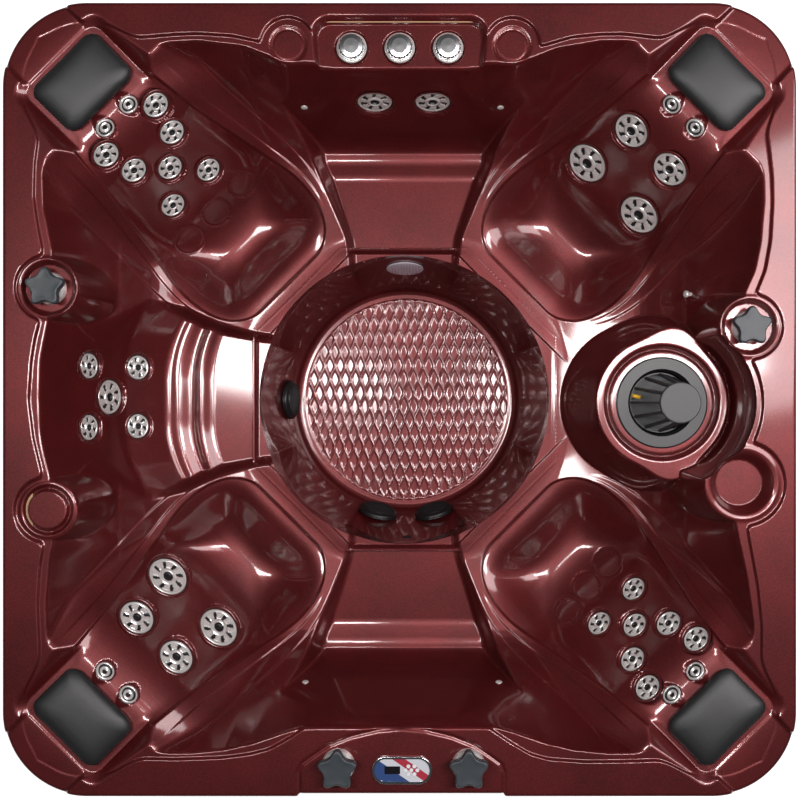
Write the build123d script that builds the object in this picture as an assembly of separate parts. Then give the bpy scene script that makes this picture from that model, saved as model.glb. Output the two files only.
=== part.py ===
from build123d import *
import math
import os

# Square acrylic hot tub, seen from above with the control console at the front (-Y).
# Millimetres, +Z up, origin on the floor under the middle of the tub.

# Overall sizes
tub_side = 2134.0
tub_height = 914.0
corner_radius = 228.0
acrylic_wall = 8.0
deck_thickness = 16.0
lip_drop = 60.0
lip_edge_radius = 10.0

# Basin: octagons at the rim, at the ridges between seats and at the footwell lip
basin_half_top = 950.0
basin_half_ridge = 728.0
basin_half_lip = 470.0
basin_diagonal_top = 1130.0
basin_diagonal_ridge = 800.0
ridge_z = 560.0
lip_z = 490.0

# Footwell
footwell_floor_z = 90.0
footwell_floor_radius = 372.0
footwell_shoulder_z = 400.0
footwell_shoulder = 441.0
footwell_top = 458.0

# Seat profiles: distance from the middle, height; the last points are the backrest
seat_plan_low_z = 430.0
seat_side_slope = math.tan(math.radians(20))
corner_side_slope = math.tan(math.radians(8))
corner_profile = [
    (504, 472), (545, 447), (620, 434), (735, 442), (800, 500),
    (1030, 815), (1106, 866), (1130, 868), (1302, 898),
]
corner_plan = [
    (504, 150), (558, 205), (640, 238), (720, 240), (800, 215),
    (905, 165), (1000, 118), (1130, 98), (1230, 90), (1302, 60),
]
north_profile = [
    (440, 466), (690, 466), (716, 486), (771, 490), (889, 884),
]
north_plan = [(440, 150), (720, 232), (889, 240)]
south_profile = [
    (440, 466), (700, 466), (725, 484), (784, 490), (872, 905),
]
south_plan = [(440, 150), (720, 232), (872, 240)]
west_profile = [
    (440, 466), (590, 466), (622, 484), (655, 474), (688, 490),
    (725, 492), (830, 600), (955, 880),
]
west_plan = [(440, 190), (600, 225), (725, 250), (955, 262)]

# Consoles that stand into the basin, as half outlines (across, distance from the middle)
north_block = [(220, 889), (330, 905), (362, 935)]
south_block = [(190, 872), (300, 915), (362, 935)]

# Filter side
filter_x = 740.0
filter_y = -9.0
platform_z = 740.0
platform_foot_z = 470.0
platform_foot_spread = 98.0
platform_outline = [
    (552, -9), (572, 80), (640, 150), (774, 212), (850, 160), (1000, 120),
    (1000, -138), (850, -178), (766, -230), (640, -168), (572, -98),
]
bay_outline = [
    (540, -9), (560, 90), (640, 165), (774, 222), (862, 128), (935, 92),
    (935, -110), (862, -146), (766, -240), (640, -183), (560, -108),
]
ring_radius = 155.0
ring_depth = 8.0
well_radius = 117.0
well_floor_z = 432.0

# Knob bowls, blank disc and cup step on the rim: x, y
west_knob = (-945.0, 300.0)
east_knob = (941.0, 196.0)
west_disc = (-946.0, -297.0)
east_cup = (922.0, -226.0)
console_knobs = [(-164.0, -980.0), (185.0, -980.0)]
peninsula_radius = 85.0
cup_peninsula_radius = 108.0
peninsula_foot_z = 640.0
bowl_radius = 73.0
bowl_depth = 25.0
cup_radius = 86.0
cup_floor_radius = 64.0
cup_depth = 48.0
disc_radius = 53.0
disc_depth = 3.0

# Step around the inner flange of the rim
flange_drop = 8.0
flange_half = 978.0
flange_corner_radius = 250.0
lobe_half = 1015.0
lobe_radius = 170.0
lobe_start = 690.0
flange_ring = 88.0
cup_flange_ring = 116.0
boss_ring = 75.0
boss_radius = 42.0
boss_rise = 2.0
boss_centres = [(-300.0, 953.0), (303.0, 952.0)]
console_cut = [(-335, -1100), (-292, -935), (-190, -888), (190, -888), (292, -935), (335, -1100)]

# North control plate with three air controls
plate_drop = 25.0
plate_outline = [(-236, 1013), (236, 1013), (230, 960), (214, 905), (212, 860), (-212, 860), (-214, 905), (-230, 960)]
air_x = [-130.0, 0.0, 131.0]
air_y = 950.0
air_knob_radius = 34.0
air_knob_height = 20.0
air_collar_radius = 41.0
air_collar_height = 4.0
flute_count = 18
flute_radius = 2.5
flute_rise = 8.0

# Star knobs on the diverter valves
star_outer = 55.0
star_inner = 37.0
star_height = 26.0
star_fillet = 9.0
star_collar_radius = 45.0
star_collar_height = 27.0
valve_radius = 28.0
valve_length = 110.0
stem_radius = 10.0
stem_length = 40.0
turning_gap = 0.3
running_clearance = 0.05
seat_clearance = 0.1

# Jets: face radius; the pocket is wider by the ring gap
jet_large = 60.0
jet_medium = 50.0
jet_small = 36.0
jet_neck = 26.0
jet_ring_gap = 5.0
jet_pocket_depth = 14.0
jet_cup_wall = 3.0
jet_barrel_depth = 62.0
jet_hub_radius = 14.0
jet_hub_length = 20.0
jet_face_thickness = 9.0
ne_large = [(876, 108), (876, -108)]
ne_medium = [(990, 77), (990, -77)]
sw_large = [(862, -122), (862, 92)]
sw_medium = [(967, -94), (967, 65)]
nw_small = [(1048, 97), (1048, -97), (987, 76), (987, -76), (940, 0), (881, 74), (881, -74)]
se_small = [(1041, 110), (1041, -80), (979, 87), (979, -57), (932, 15), (875, 87), (875, -57)]
neck_places = [(1094, 45), (1094, -45)]
north_jets = [(-76, 727), (89, 727)]
west_small = [(-96, 725), (80, 725), (-96, 560), (80, 560)]
west_centre = (-7, 645)

# Lights
led_radius = 10.0
led_north = [(-279, 708), (283, 708)]
led_south = [(-281, 663), (281, 663)]
led_west = [(-289, 631), (289, 631)]
led_east = [(303, 700), (-306, 700)]
lens_radius = 59.0
lens_z = 330.0
lens_thickness = 12.0
lens_lap = 6.0

# Suction covers and drain in the footwell wall
suction_radius = 65.0
suction_z = 190.0
suction_thickness = 30.0
stub_reach = 29.0
suction_angles = [180.0, 256.0, 284.0]
drain_angle = 271.0
drain_z = 385.0
drain_radius = 13.0

# Control panel
panel_x = 7.0
panel_y = -993.0
panel_length = 162.0
panel_width = 75.0
panel_rise = 6.0
panel_body_depth = 30.0
panel_bezel = 7.0
panel_face_drop = 3.0
key_radius = 5.2
key_gap = 0.3
key_rise = 1.2
key_travel = 1.0
key_depth = 8.0
key_places = [(17, 10.5), (33, 10.5), (9, 0), (25, 0), (41, 0), (17, -10.5), (33, -10.5)]

# Pillows
pillow_length = 244.0
pillow_depth = 166.0
pillow_thickness = 46.0
pillow_start = 1130.0
pillow_gap = 0.3
pillow_crown = 10.0
pillow_draw_in = 7.0
pillow_corner = 26.0
pillow_dome = 900.0

# Cabinet, frame and base
base_side = 2070.0
base_thickness = 15.0
cabinet_outer = 1045.0
panel_thickness = 18.0
cabinet_top_z = 850.0
post_span = 235.0
post_radius = 208.0
panel_gap = 2.0
access_gap = 0.3
board_count = 6
board_groove_depth = 6.0
board_groove_width = 8.0
frame_wall = 38.0
rail_height = 64.0
stud_width = 60.0
stud_places = [-560.0, 0.0, 560.0]
plinth_radius = 300.0
bowl_notch = 6.0

# Equipment behind the access panel
pump_places = [(-480.0, -760.0), (480.0, -760.0)]
motor_radius = 82.0
motor_length = 300.0
wet_end_radius = 105.0
wet_end_length = 90.0
pump_foot_height = 50.0
pipe_radius = 30.0
riser_height = 60.0
control_box_size = (420.0, 150.0, 260.0)
control_box_centre = (0.0, -900.0)
heater_radius = 38.0
heater_length = 420.0
heater_centre = (0.0, -760.0)
equipment_stand = 60.0

# Filter basket and cartridge
collar_height = 48.0
collar_inner = 90.0
collar_flange = 130.0
collar_flange_height = 5.0
basket_radius = 86.0
basket_neck_z = 640.0
basket_shoulder_z = 706.0
basket_ring_height = 12.0
basket_lean = 20.0
basket_rib_count = 12
basket_rib = 7.0
cap_radius = 56.0
cap_z = 878.0
cap_height = 12.0
cartridge_radius = 80.0
cartridge_core = 28.0
pleat_count = 24
pleat_radius = 3.0
end_cap = 14.0

# Cutting solids run up to here, clear above the rim
open_top = tub_height + 60.0


def grown_polygon(points, centre, amount):
    """Each corner moves away from the centre by the amount."""
    moved = []
    for x, y in points:
        away = math.hypot(x - centre[0], y - centre[1])
        moved.append((x + amount * (x - centre[0]) / away, y + amount * (y - centre[1]) / away))
    return moved


def flat(points, z):
    return Pos(0, 0, z) * Polygon(*points, align=None)


def between(low_points, low_z, high_points, high_z):
    """A solid with flat sides from one outline up to another with as many corners."""
    return loft([flat(low_points, low_z), flat(high_points, high_z)], ruled=True)


def octagon(half, diagonal):
    """Corners of a square of that half side whose corners are cut at that diagonal distance."""
    other = diagonal * math.sqrt(2) - half
    corners = []
    for turn in range(4):
        angle = math.radians(90 * turn)
        for x, y in ((half, -other), (half, other)):
            corners.append((
                x * math.cos(angle) - y * math.sin(angle),
                x * math.sin(angle) + y * math.cos(angle),
            ))
    return corners


def cylinder(x, y, radius, low_z, high_z):
    return Pos(x, y, low_z) * extrude(Circle(radius), high_z - low_z)


def cone(x, y, low_radius, low_z, high_radius, high_z):
    return Pos(x, y, (low_z + high_z) / 2) * Cone(low_radius, high_radius, high_z - low_z)


def seat_hollow(profile, plan, side_slope, angle, grow, front_grow):
    """The room above a seat and its backrest: its plan, drafted, within its side profile."""
    side = list(profile) + [(profile[-1][0], open_top), (profile[0][0], open_top)]
    section = offset(Polygon(*side, align=None), grow, kind=Kind.INTERSECTION)
    across = extrude(Plane.XZ * section, basin_half_top, both=True)
    outlines = []
    for z in (seat_plan_low_z - 2 * acrylic_wall, open_top + 2 * acrylic_wall):
        wider = (z - seat_plan_low_z) * side_slope + grow
        left = []
        for place, (distance, half) in enumerate(plan):
            if place == 0:
                distance = distance - front_grow
            if place == len(plan) - 1:
                distance = distance + grow
            left.append((distance, half + wider))
        outlines.append((left + [(d, -h) for d, h in reversed(left)], z))
    (low, low_z), (high, high_z) = outlines
    return Rot(0, 0, angle) * (across & between(low, low_z, high, high_z))


def console_block(half_outline, profile, direction, grow):
    """A console that stands into the basin; its face lies in the plane of the seat's backrest."""
    (near, foot_z), (far, back_z) = profile[-2:]
    slope = (far - near) / (back_z - foot_z)
    outlines = []
    for z in (foot_z, open_top):
        shift = (z - back_z) * slope
        right = [(across - grow, reach + shift + grow) for across, reach in half_outline]
        outer = [(right[-1][0], tub_side / 2)]
        points = right + outer
        ring = points + [(-x, y) for x, y in reversed(points)]
        outlines.append([(x, direction * y) for x, y in ring])
    return between(outlines[0], foot_z, outlines[1], open_top)


def filter_platform(grow):
    centre = (filter_x, filter_y)
    top = grown_polygon(platform_outline, centre, -grow)
    foot = grown_polygon(platform_outline, centre, platform_foot_spread - grow)
    return between(foot, platform_foot_z - 4 * acrylic_wall, top, platform_z - grow)


def filter_bay(grow):
    outline = grown_polygon(bay_outline, (filter_x, filter_y), grow)
    bay = between(outline, platform_z - grow, outline, open_top)
    ring = cylinder(filter_x, filter_y, ring_radius + grow, platform_z - ring_depth - grow, open_top)
    well = cylinder(filter_x, filter_y, well_radius + grow, well_floor_z - grow, platform_z)
    return bay, ring + well


def footwell(grow):
    bottom = cone(
        0, 0, footwell_floor_radius + grow, footwell_floor_z - grow,
        footwell_shoulder + grow, footwell_shoulder_z,
    )
    mouth = between(
        octagon(footwell_shoulder + grow, footwell_shoulder + grow), footwell_shoulder_z,
        octagon(footwell_top + grow, footwell_top + grow), lip_z + grow,
    )
    return bottom + mouth


def basin(grow):
    """The room inside the tub, with every wall moved outwards by the amount."""
    upper = between(
        octagon(basin_half_ridge + grow, basin_diagonal_ridge + grow), ridge_z - grow,
        octagon(basin_half_top + grow, basin_diagonal_top + grow), tub_height,
    )
    lower = between(
        octagon(basin_half_lip + grow, basin_half_lip + grow), lip_z - grow,
        octagon(basin_half_ridge + grow, basin_diagonal_ridge + grow), ridge_z - grow,
    )
    bay, well = filter_bay(grow)
    room = upper + lower
    room -= filter_platform(grow)
    room += bay & Pos(0, 0, tub_height / 2) * Box(tub_side, tub_side, tub_height)
    room -= console_block(north_block, north_profile, 1, grow)
    room -= console_block(south_block, south_profile, -1, grow)
    below_rim = Pos(0, 0, tub_height / 2) * Box(tub_side, tub_side, tub_height)
    seats = [
        seat_hollow(north_profile, north_plan, seat_side_slope, 90, grow, 0),
        seat_hollow(west_profile, west_plan, seat_side_slope, 180, grow, 0),
        seat_hollow(south_profile, south_plan, seat_side_slope, 270, grow, 0),
    ]
    for angle in (45, 135, 225, 315):
        seats.append(seat_hollow(corner_profile, corner_plan, corner_side_slope, angle, grow, grow))
    for seat in seats:
        room += seat & below_rim
    for x, y in (west_knob, east_knob, west_disc):
        room -= cylinder(x, y, peninsula_radius - grow, peninsula_foot_z, open_top)
    room -= cylinder(*east_cup, cup_peninsula_radius - grow, peninsula_foot_z, open_top)
    room += footwell(grow)
    room += well & below_rim
    return room


def profile_height(profile, distance):
    for (near, low), (far, high) in zip(profile, profile[1:]):
        if near <= distance <= far:
            return low + (high - low) * (distance - near) / (far - near)
    raise ValueError("the distance is off the profile")


def profile_distance(profile, height):
    """The distance at which the backrest, the last rising part, has that height."""
    for (near, low), (far, high) in reversed(list(zip(profile, profile[1:]))):
        if low <= height <= high:
            return near + (far - near) * (height - low) / (high - low)
    raise ValueError("the height is off the profile")


def facing(angle, distance, across, height, lean):
    """A plane on a backrest: its normal looks inwards and up by the lean from level."""
    turn = math.radians(angle)
    out = Vector(math.cos(turn), math.sin(turn), 0)
    side = Vector(-math.sin(turn), math.cos(turn), 0)
    centre = out * distance + side * across + Vector(0, 0, height)
    rise = math.radians(lean)
    normal = out * -math.cos(rise) + Vector(0, 0, math.sin(rise))
    return Plane(origin=centre, x_dir=side, z_dir=normal)


def lean_of(near, far):
    """The lean from level of the normal of a wall through two profile points."""
    return math.degrees(math.atan2(far[0] - near[0], far[1] - near[1]))


corner_lean = lean_of(corner_profile[4], corner_profile[5])
north_lean = lean_of(north_profile[3], north_profile[4])
south_lean = lean_of(south_profile[3], south_profile[4])
west_lower_lean = lean_of(west_profile[5], west_profile[6])
west_upper_lean = lean_of(west_profile[6], west_profile[7])
east_lean = lean_of((basin_half_ridge, ridge_z), (basin_half_top, tub_height))
west_crease_z = west_profile[6][1]


def corner_spot(angle, distance, across):
    return facing(angle, distance, across, profile_height(corner_profile, distance), corner_lean)


def north_spot(across, height):
    return facing(90, profile_distance(north_profile, height), -across, height, north_lean)


def south_spot(across, height):
    return facing(270, profile_distance(south_profile, height), across, height, south_lean)


def west_spot(across, height):
    lean = west_upper_lean if height > west_crease_z else west_lower_lean
    return facing(180, profile_distance(west_profile, height), across, height, lean)


def east_spot(across, height):
    share = (height - ridge_z) / (tub_height - ridge_z)
    distance = basin_half_ridge + (basin_half_top - basin_half_ridge) * share
    return facing(0, distance, across, height, east_lean)


def jets():
    """Every jet as name, plane on the wall and face radius; None names a grouped jet."""
    spots = []
    for place, (across, height) in enumerate(north_jets):
        spots.append((f"jet_north_{place + 1}", north_spot(across, height), jet_medium))
    for place, spot in enumerate(ne_large + ne_medium):
        radius = jet_large if spot in ne_large else jet_medium
        spots.append((f"jet_ne_{place + 1}", corner_spot(45, *spot), radius))
    for place, spot in enumerate(sw_large + sw_medium):
        radius = jet_large if spot in sw_large else jet_medium
        spots.append((f"jet_sw_{place + 1}", corner_spot(225, *spot), radius))
    spots.append(("jet_west_centre", west_spot(*west_centre), jet_medium))
    for spot in nw_small:
        spots.append((None, corner_spot(135, *spot), jet_small))
    for spot in se_small:
        spots.append((None, corner_spot(315, *spot), jet_small))
    for spot in west_small:
        spots.append((None, west_spot(*spot), jet_small))
    return spots


def neck_spots():
    return [corner_spot(angle, *spot) for angle in (45, 135, 225, 315) for spot in neck_places]


def turned(points, plane):
    """A solid of revolution about the plane's normal, from radius and height points."""
    section = Plane.XZ * Polygon(*points, align=None)
    return plane * revolve(section, Axis.Z)


def jet_body(plane, radius):
    """A cup in the wall with a barrel behind it; the barrel's bore carries the jet face."""
    outer = radius + jet_ring_gap - seat_clearance
    inner = outer - jet_cup_wall
    bore = jet_hub_radius + running_clearance
    barrel = max(bore + 6, 0.55 * radius)
    points = [
        (bore, -jet_pocket_depth), (inner, -jet_pocket_depth), (inner, -2), (outer, -2),
        (outer, -jet_pocket_depth - jet_cup_wall), (barrel, -jet_pocket_depth - 3 * jet_cup_wall),
        (barrel, -jet_barrel_depth), (bore, -jet_barrel_depth),
    ]
    return turned(points, plane)


def jet_face(plane, radius):
    """The turning face: a dished ring with a nozzle, on a hub that runs in the barrel."""
    back = -jet_pocket_depth + turning_gap
    front = back + jet_face_thickness
    points = [
        (0, back - jet_hub_length), (jet_hub_radius, back - jet_hub_length), (jet_hub_radius, back),
        (radius - 2, back), (radius, back + 2), (radius, front - 1), (radius - 2, front + 1),
        (0.86 * radius, front), (0.5 * radius, front - 3), (0.42 * radius, front + 2),
        (0.3 * radius, front + 3), (0.2 * radius, front - 2), (0, front - 2),
    ]
    return turned(points, plane)


def neck_jet(plane):
    outer = jet_neck - seat_clearance
    points = [
        (0, -jet_barrel_depth / 2), (0.6 * outer, -jet_barrel_depth / 2), (0.6 * outer, -8), (outer, -8),
        (outer, 1), (outer - 2, 3), (outer - 7, 2), (outer - 9, -1), (8, -1), (6, 2), (0, 2),
    ]
    return turned(points, plane)


def wall_hole(plane, radius, depth):
    return plane * (Pos(0, 0, -depth / 2) * Cylinder(radius, 2 * depth))


def led(plane):
    radius = led_radius - seat_clearance
    points = [(0, -30), (0.6 * radius, -30), (0.6 * radius, -4), (radius, -4), (radius, 1), (0.7 * radius, 3), (0, 4)]
    return turned(points, plane)


def footwell_wall(angle, z):
    """A plane on the footwell's wall, looking inwards square to it."""
    share = (z - footwell_floor_z) / (footwell_shoulder_z - footwell_floor_z)
    distance = footwell_floor_radius + (footwell_shoulder - footwell_floor_radius) * share
    lean = lean_of((footwell_floor_radius, footwell_floor_z), (footwell_shoulder, footwell_shoulder_z))
    return facing(angle, distance, 0, z, lean)


def outline(inset):
    side = tub_side - 2 * inset
    return RectangleRounded(side, side, corner_radius - inset)


def flange_step():
    """The stepped-down flange round the basin, as a cutting solid."""
    shape = RectangleRounded(2 * flange_half, 2 * flange_half, flange_corner_radius)
    lobes = RectangleRounded(2 * lobe_half, 2 * lobe_half, lobe_radius)
    side = lobe_half - lobe_start
    for x in (-1, 1):
        for y in (-1, 1):
            middle = lobe_start + side / 2
            shape += lobes & Pos(x * middle, y * middle) * Rectangle(side, side)
    for x, y in (west_knob, east_knob, west_disc):
        shape += Pos(x, y) * Circle(flange_ring)
    shape += Pos(*east_cup) * Circle(cup_flange_ring)
    for x, y in boss_centres:
        shape += Pos(x, y) * Circle(boss_ring)
    shape -= Polygon(*console_cut, align=None)
    return Pos(0, 0, tub_height - flange_drop) * extrude(shape, 3 * flange_drop)


def plate_recess(grow):
    outline_points = grown_polygon(plate_outline, (0, air_y), grow)
    floor = tub_height - plate_drop - grow
    return between(outline_points, floor, outline_points, open_top)


def bowl(place, radius, floor_radius, depth, grow):
    floor = tub_height - depth - grow
    return cone(*place, floor_radius + grow, floor, radius + grow, tub_height)


def rim(grown_basin):
    """The flat deck with its turned-down lip, the knob bowls, the cup and the control plate."""
    slab = extrude(outline(0), -lip_drop)
    slab = fillet(slab.faces().sort_by(Axis.Z)[-1].edges(), lip_edge_radius)
    slab -= Pos(0, 0, -deck_thickness) * extrude(outline(acrylic_wall), -lip_drop)
    deck = Pos(0, 0, tub_height) * slab
    for place in (west_knob, east_knob):
        deck += bowl(place, bowl_radius, bowl_radius - 6, bowl_depth, acrylic_wall)
    deck += bowl(east_cup, cup_radius, cup_floor_radius, cup_depth, acrylic_wall)
    below_rim = Pos(0, 0, tub_height / 2) * Box(tub_side, tub_side, tub_height)
    deck += plate_recess(acrylic_wall) & below_rim
    deck -= grown_basin
    for place in (west_knob, east_knob):
        deck -= bowl(place, bowl_radius, bowl_radius - 6, bowl_depth, 0)
    deck -= bowl(east_cup, cup_radius, cup_floor_radius, cup_depth, 0)
    deck -= flange_step()
    deck -= plate_recess(0)
    flange_z = tub_height - flange_drop
    raised = cylinder(*west_disc, disc_radius, tub_height - deck_thickness, flange_z + disc_depth)
    for x, y in boss_centres:
        raised += cylinder(x, y, boss_radius, tub_height - deck_thickness, flange_z + boss_rise)
    deck += raised - grown_basin
    hole = valve_radius + seat_clearance
    for x, y in [west_knob, east_knob] + console_knobs:
        deck -= cylinder(x, y, hole, tub_height - 2 * bowl_depth - deck_thickness, open_top)
    for x in air_x:
        deck -= cylinder(x, air_y, 0.5 * valve_radius + seat_clearance, tub_height - 3 * plate_drop, open_top)
    deck -= Pos(panel_x, panel_y, tub_height) * panel_blank(seat_clearance - panel_bezel, 2 * panel_body_depth)
    return largest(deck)


def largest(shape):
    """Keeps the main solid and leaves out crumbs that a cut freed."""
    return max(shape.solids(), key=lambda solid: solid.volume)


def panel_blank(extra, height):
    """An oval block of the control panel's outline, grown by the extra."""
    width = panel_width + 2 * extra
    length = panel_length + 2 * extra
    face = RectangleRounded(length, width, width / 2 - 0.01)
    return Pos(0, 0, -height / 2) * extrude(face, height)


def wedge(angle, spread):
    """A vertical wedge from the middle outwards, centred on an angle."""
    reach = tub_side
    points = [(0, 0)]
    for side in (-spread, 0, spread):
        turn = math.radians(angle + side)
        points.append((reach * math.cos(turn), reach * math.sin(turn)))
    return between(points, 0, points, open_top)


def shell_parts():
    """The moulded shell as its rim, its footwell and a sector for each seat."""
    inside = basin(0)
    outside = basin(acrylic_wall)
    shell = outside - inside
    shell -= flange_step()
    shell -= plate_recess(0)
    for _, plane, radius in jets():
        shell -= wall_hole(plane, radius + jet_ring_gap, 40)
    for plane in neck_spots():
        shell -= wall_hole(plane, jet_neck, 30)
    for plane in led_planes():
        shell -= wall_hole(plane, led_radius, 30)
    shell -= wall_hole(footwell_wall(90, lens_z), lens_radius - lens_lap, 30)
    for angle in suction_angles:
        shell -= wall_hole(footwell_wall(angle, suction_z), 0.6 * suction_radius, 30)
    shell -= wall_hole(footwell_wall(drain_angle, drain_z), 0.6 * drain_radius, 30)
    well_solid = footwell(acrylic_wall) & Pos(0, 0, footwell_shoulder_z / 2) * Box(
        tub_side, tub_side, footwell_shoulder_z
    )
    parts = {"shell_footwell": shell & well_solid}
    around = shell - well_solid
    sectors = [
        ("shell_filter_side", 0, 18), ("shell_corner_ne", 45, 27), ("shell_seat_north", 90, 18),
        ("shell_corner_nw", 135, 27), ("shell_seat_west", 180, 18), ("shell_corner_sw", 225, 27),
        ("shell_seat_south", 270, 18), ("shell_corner_se", 315, 27),
    ]
    for name, angle, spread in sectors:
        parts[name] = around & wedge(angle, spread)
    parts["shell_rim"] = rim(outside)
    return {name: largest(part) for name, part in parts.items()}


def led_planes():
    planes = [north_spot(*spot) for spot in led_north]
    planes += [south_spot(*spot) for spot in led_south]
    planes += [west_spot(*spot) for spot in led_west]
    planes += [east_spot(*spot) for spot in led_east]
    return planes


def star_knob(place, floor):
    """A five-lobed handle on a stem, above its chrome collar."""
    points = []
    for tip in range(10):
        radius = star_outer if tip % 2 == 0 else star_inner
        turn = math.radians(90 + 36 * tip)
        points.append((radius * math.cos(turn), radius * math.sin(turn)))
    face = Polygon(*points, align=None)
    face = fillet(face.vertices(), star_fillet)
    head = extrude(face, star_height)
    head = fillet(head.faces().sort_by(Axis.Z)[-1].edges(), 3)
    stem = Pos(0, 0, -stem_length / 2) * Cylinder(stem_radius, stem_length)
    return Pos(*place, floor + star_collar_height + turning_gap) * (head + stem)


def star_collar(place, floor):
    """The chrome collar of a diverter valve with the valve body under the deck."""
    bore = stem_radius + running_clearance
    body = valve_radius
    deep = star_collar_height - stem_length - 2
    points = [
        (bore, star_collar_height), (0.62 * star_collar_radius, star_collar_height),
        (star_collar_radius - 3, 0.5 * star_collar_height), (star_collar_radius, 2), (star_collar_radius, 0),
        (body, 0), (body, -valve_length), (0, -valve_length), (0, deep), (bore, deep),
    ]
    return turned(points, Plane(origin=(*place, floor)))


def air_knob(x, floor):
    """A low domed turning cap with a fluted edge, on a stem."""
    points = [
        (0, -18), (stem_radius / 2, -18), (stem_radius / 2, 0), (air_knob_radius - 3, 0),
        (air_knob_radius, 3), (air_knob_radius, 0.6 * air_knob_height),
        (air_knob_radius - 4, 0.8 * air_knob_height), (0.6 * air_knob_radius, 0.95 * air_knob_height),
        (0, air_knob_height),
    ]
    cap = turned(points, Plane(origin=(0, 0, 0)))
    flute = Cylinder(flute_radius, 3 * air_knob_height)
    reach = air_knob_radius + 1
    for turn in range(flute_count):
        angle = 2 * math.pi * turn / flute_count
        cap -= Pos(reach * math.cos(angle), reach * math.sin(angle), air_knob_height + flute_rise) * flute
    return Pos(x, air_y, floor + air_collar_height + turning_gap) * cap


def air_collar(x, floor):
    bore = stem_radius / 2 + running_clearance
    body = 0.5 * valve_radius
    points = [
        (bore, air_collar_height), (air_collar_radius - 2, air_collar_height), (air_collar_radius, 2),
        (air_collar_radius, 0), (body, 0), (body, -60), (0, -60), (0, -20), (bore, -20),
    ]
    return turned(points, Plane(origin=(x, air_y, floor)))


def control_panel():
    """The oval topside control: a bezel round a sunk face, with holes for its keys."""
    bezel = Pos(0, 0, panel_rise / 2) * panel_blank(0, panel_rise)
    bezel = fillet(bezel.faces().sort_by(Axis.Z)[-1].edges(), 2.5)
    tray = Pos(0, 0, -panel_body_depth / 2) * panel_blank(-panel_bezel, panel_body_depth)
    face_cut = Pos(0, 0, panel_rise) * panel_blank(-panel_bezel, 2 * panel_face_drop)
    housing = bezel + tray - face_cut
    face_z = panel_rise - panel_face_drop
    for x, y in key_places:
        housing -= cylinder(x, y, key_radius + key_gap, face_z - key_depth - key_travel, open_top)
    return Pos(panel_x, panel_y, tub_height) * housing


def panel_key(x, y):
    """A round key that stands a little above the face; its hole leaves room below for its travel."""
    top = panel_rise - panel_face_drop + key_rise
    bottom = panel_rise - panel_face_drop - key_depth + key_gap
    key = cylinder(x, y, key_radius, bottom, top)
    key = fillet(key.faces().sort_by(Axis.Z)[-1].edges(), 0.5)
    return Pos(panel_x, panel_y, tub_height) * key


def pillow(angle):
    """A crowned cushion whose sides draw in, lying on the flat behind the neck jets."""
    low_z = profile_height(corner_profile, pillow_start)
    far_d, far_z = corner_profile[-1]
    slope = math.degrees(math.atan2(far_z - low_z, far_d - pillow_start))
    levels = [
        (0, 0), (0.35 * pillow_thickness, pillow_draw_in), (0.78 * pillow_thickness, 0),
        (pillow_thickness, -pillow_crown),
    ]
    slices = []
    for height, grow in levels:
        half_depth = pillow_depth / 2 + grow - pillow_draw_in
        half_length = pillow_length / 2 + grow - pillow_draw_in
        slices.append(Pos(0, 0, height) * RectangleRounded(2 * half_depth, 2 * half_length, pillow_corner))
    cushion = loft(slices, ruled=True)
    dome = Pos(0, 0, pillow_thickness + pillow_crown - pillow_dome) * Sphere(pillow_dome)
    cushion = cushion & dome
    lying = Pos(pillow_start, 0, low_z) * Rot(0, -slope, 0) * Pos(pillow_depth / 2, 0, pillow_gap) * cushion
    return Rot(0, 0, angle) * lying


def cabinet_posts():
    """Four rounded corner posts, hollow behind."""
    outer = RectangleRounded(2 * cabinet_outer, 2 * cabinet_outer, post_radius)
    inner_side = 2 * (cabinet_outer - panel_thickness)
    ring = outer - RectangleRounded(inner_side, inner_side, post_radius - panel_thickness)
    middle = cabinet_outer - post_span / 2
    posts = []
    for x in (-1, 1):
        for y in (-1, 1):
            corner = ring & Pos(x * middle, y * middle) * Rectangle(post_span, post_span)
            posts.append(Pos(0, 0, base_thickness) * extrude(corner, cabinet_top_z - base_thickness))
    return Compound(children=[largest(post) for post in posts])


def cabinet_panel(angle, gap):
    """One flat panel with grooves between its boards, hung on the frame rails."""
    width = 2 * (cabinet_outer - post_span - panel_gap)
    height = cabinet_top_z - base_thickness - 2 * panel_gap
    board = Box(panel_thickness, width, height)
    for place in range(1, board_count):
        z = -height / 2 + place * height / board_count
        board -= Pos(panel_thickness / 2, 0, z) * Box(board_groove_depth, width, board_groove_width)
    x = cabinet_outer - panel_thickness / 2 + gap
    return Rot(0, 0, angle) * Pos(x, 0, base_thickness + panel_gap + height / 2) * board


def timbers():
    """The frame's rails, corner posts and studs, butted together, as separate boxes."""
    outer = cabinet_outer - panel_thickness
    top = tub_height - deck_thickness
    corner = cabinet_outer - post_radius - stud_width
    boxes = []
    for angle in (0, 90, 180, 270):
        middle = Rot(0, 0, angle) * Pos(outer - frame_wall / 2, 0, 0)
        for low in (base_thickness, top - rail_height):
            boxes.append(middle * Pos(0, 0, low + rail_height / 2) * Box(frame_wall, 2 * corner, rail_height))
        height = top - base_thickness - 2 * rail_height
        for across in stud_places:
            if angle == 270 and across == 0:
                continue
            place = middle * Pos(0, across, base_thickness + rail_height + height / 2)
            boxes.append(place * Box(frame_wall, stud_width, height))
        leg = corner + stud_width / 2
        tall = top - base_thickness
        for side in (-1, 1):
            boxes.append(middle * Pos(0, side * leg, base_thickness + tall / 2) * Box(frame_wall, stud_width, tall))
    return boxes


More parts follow.
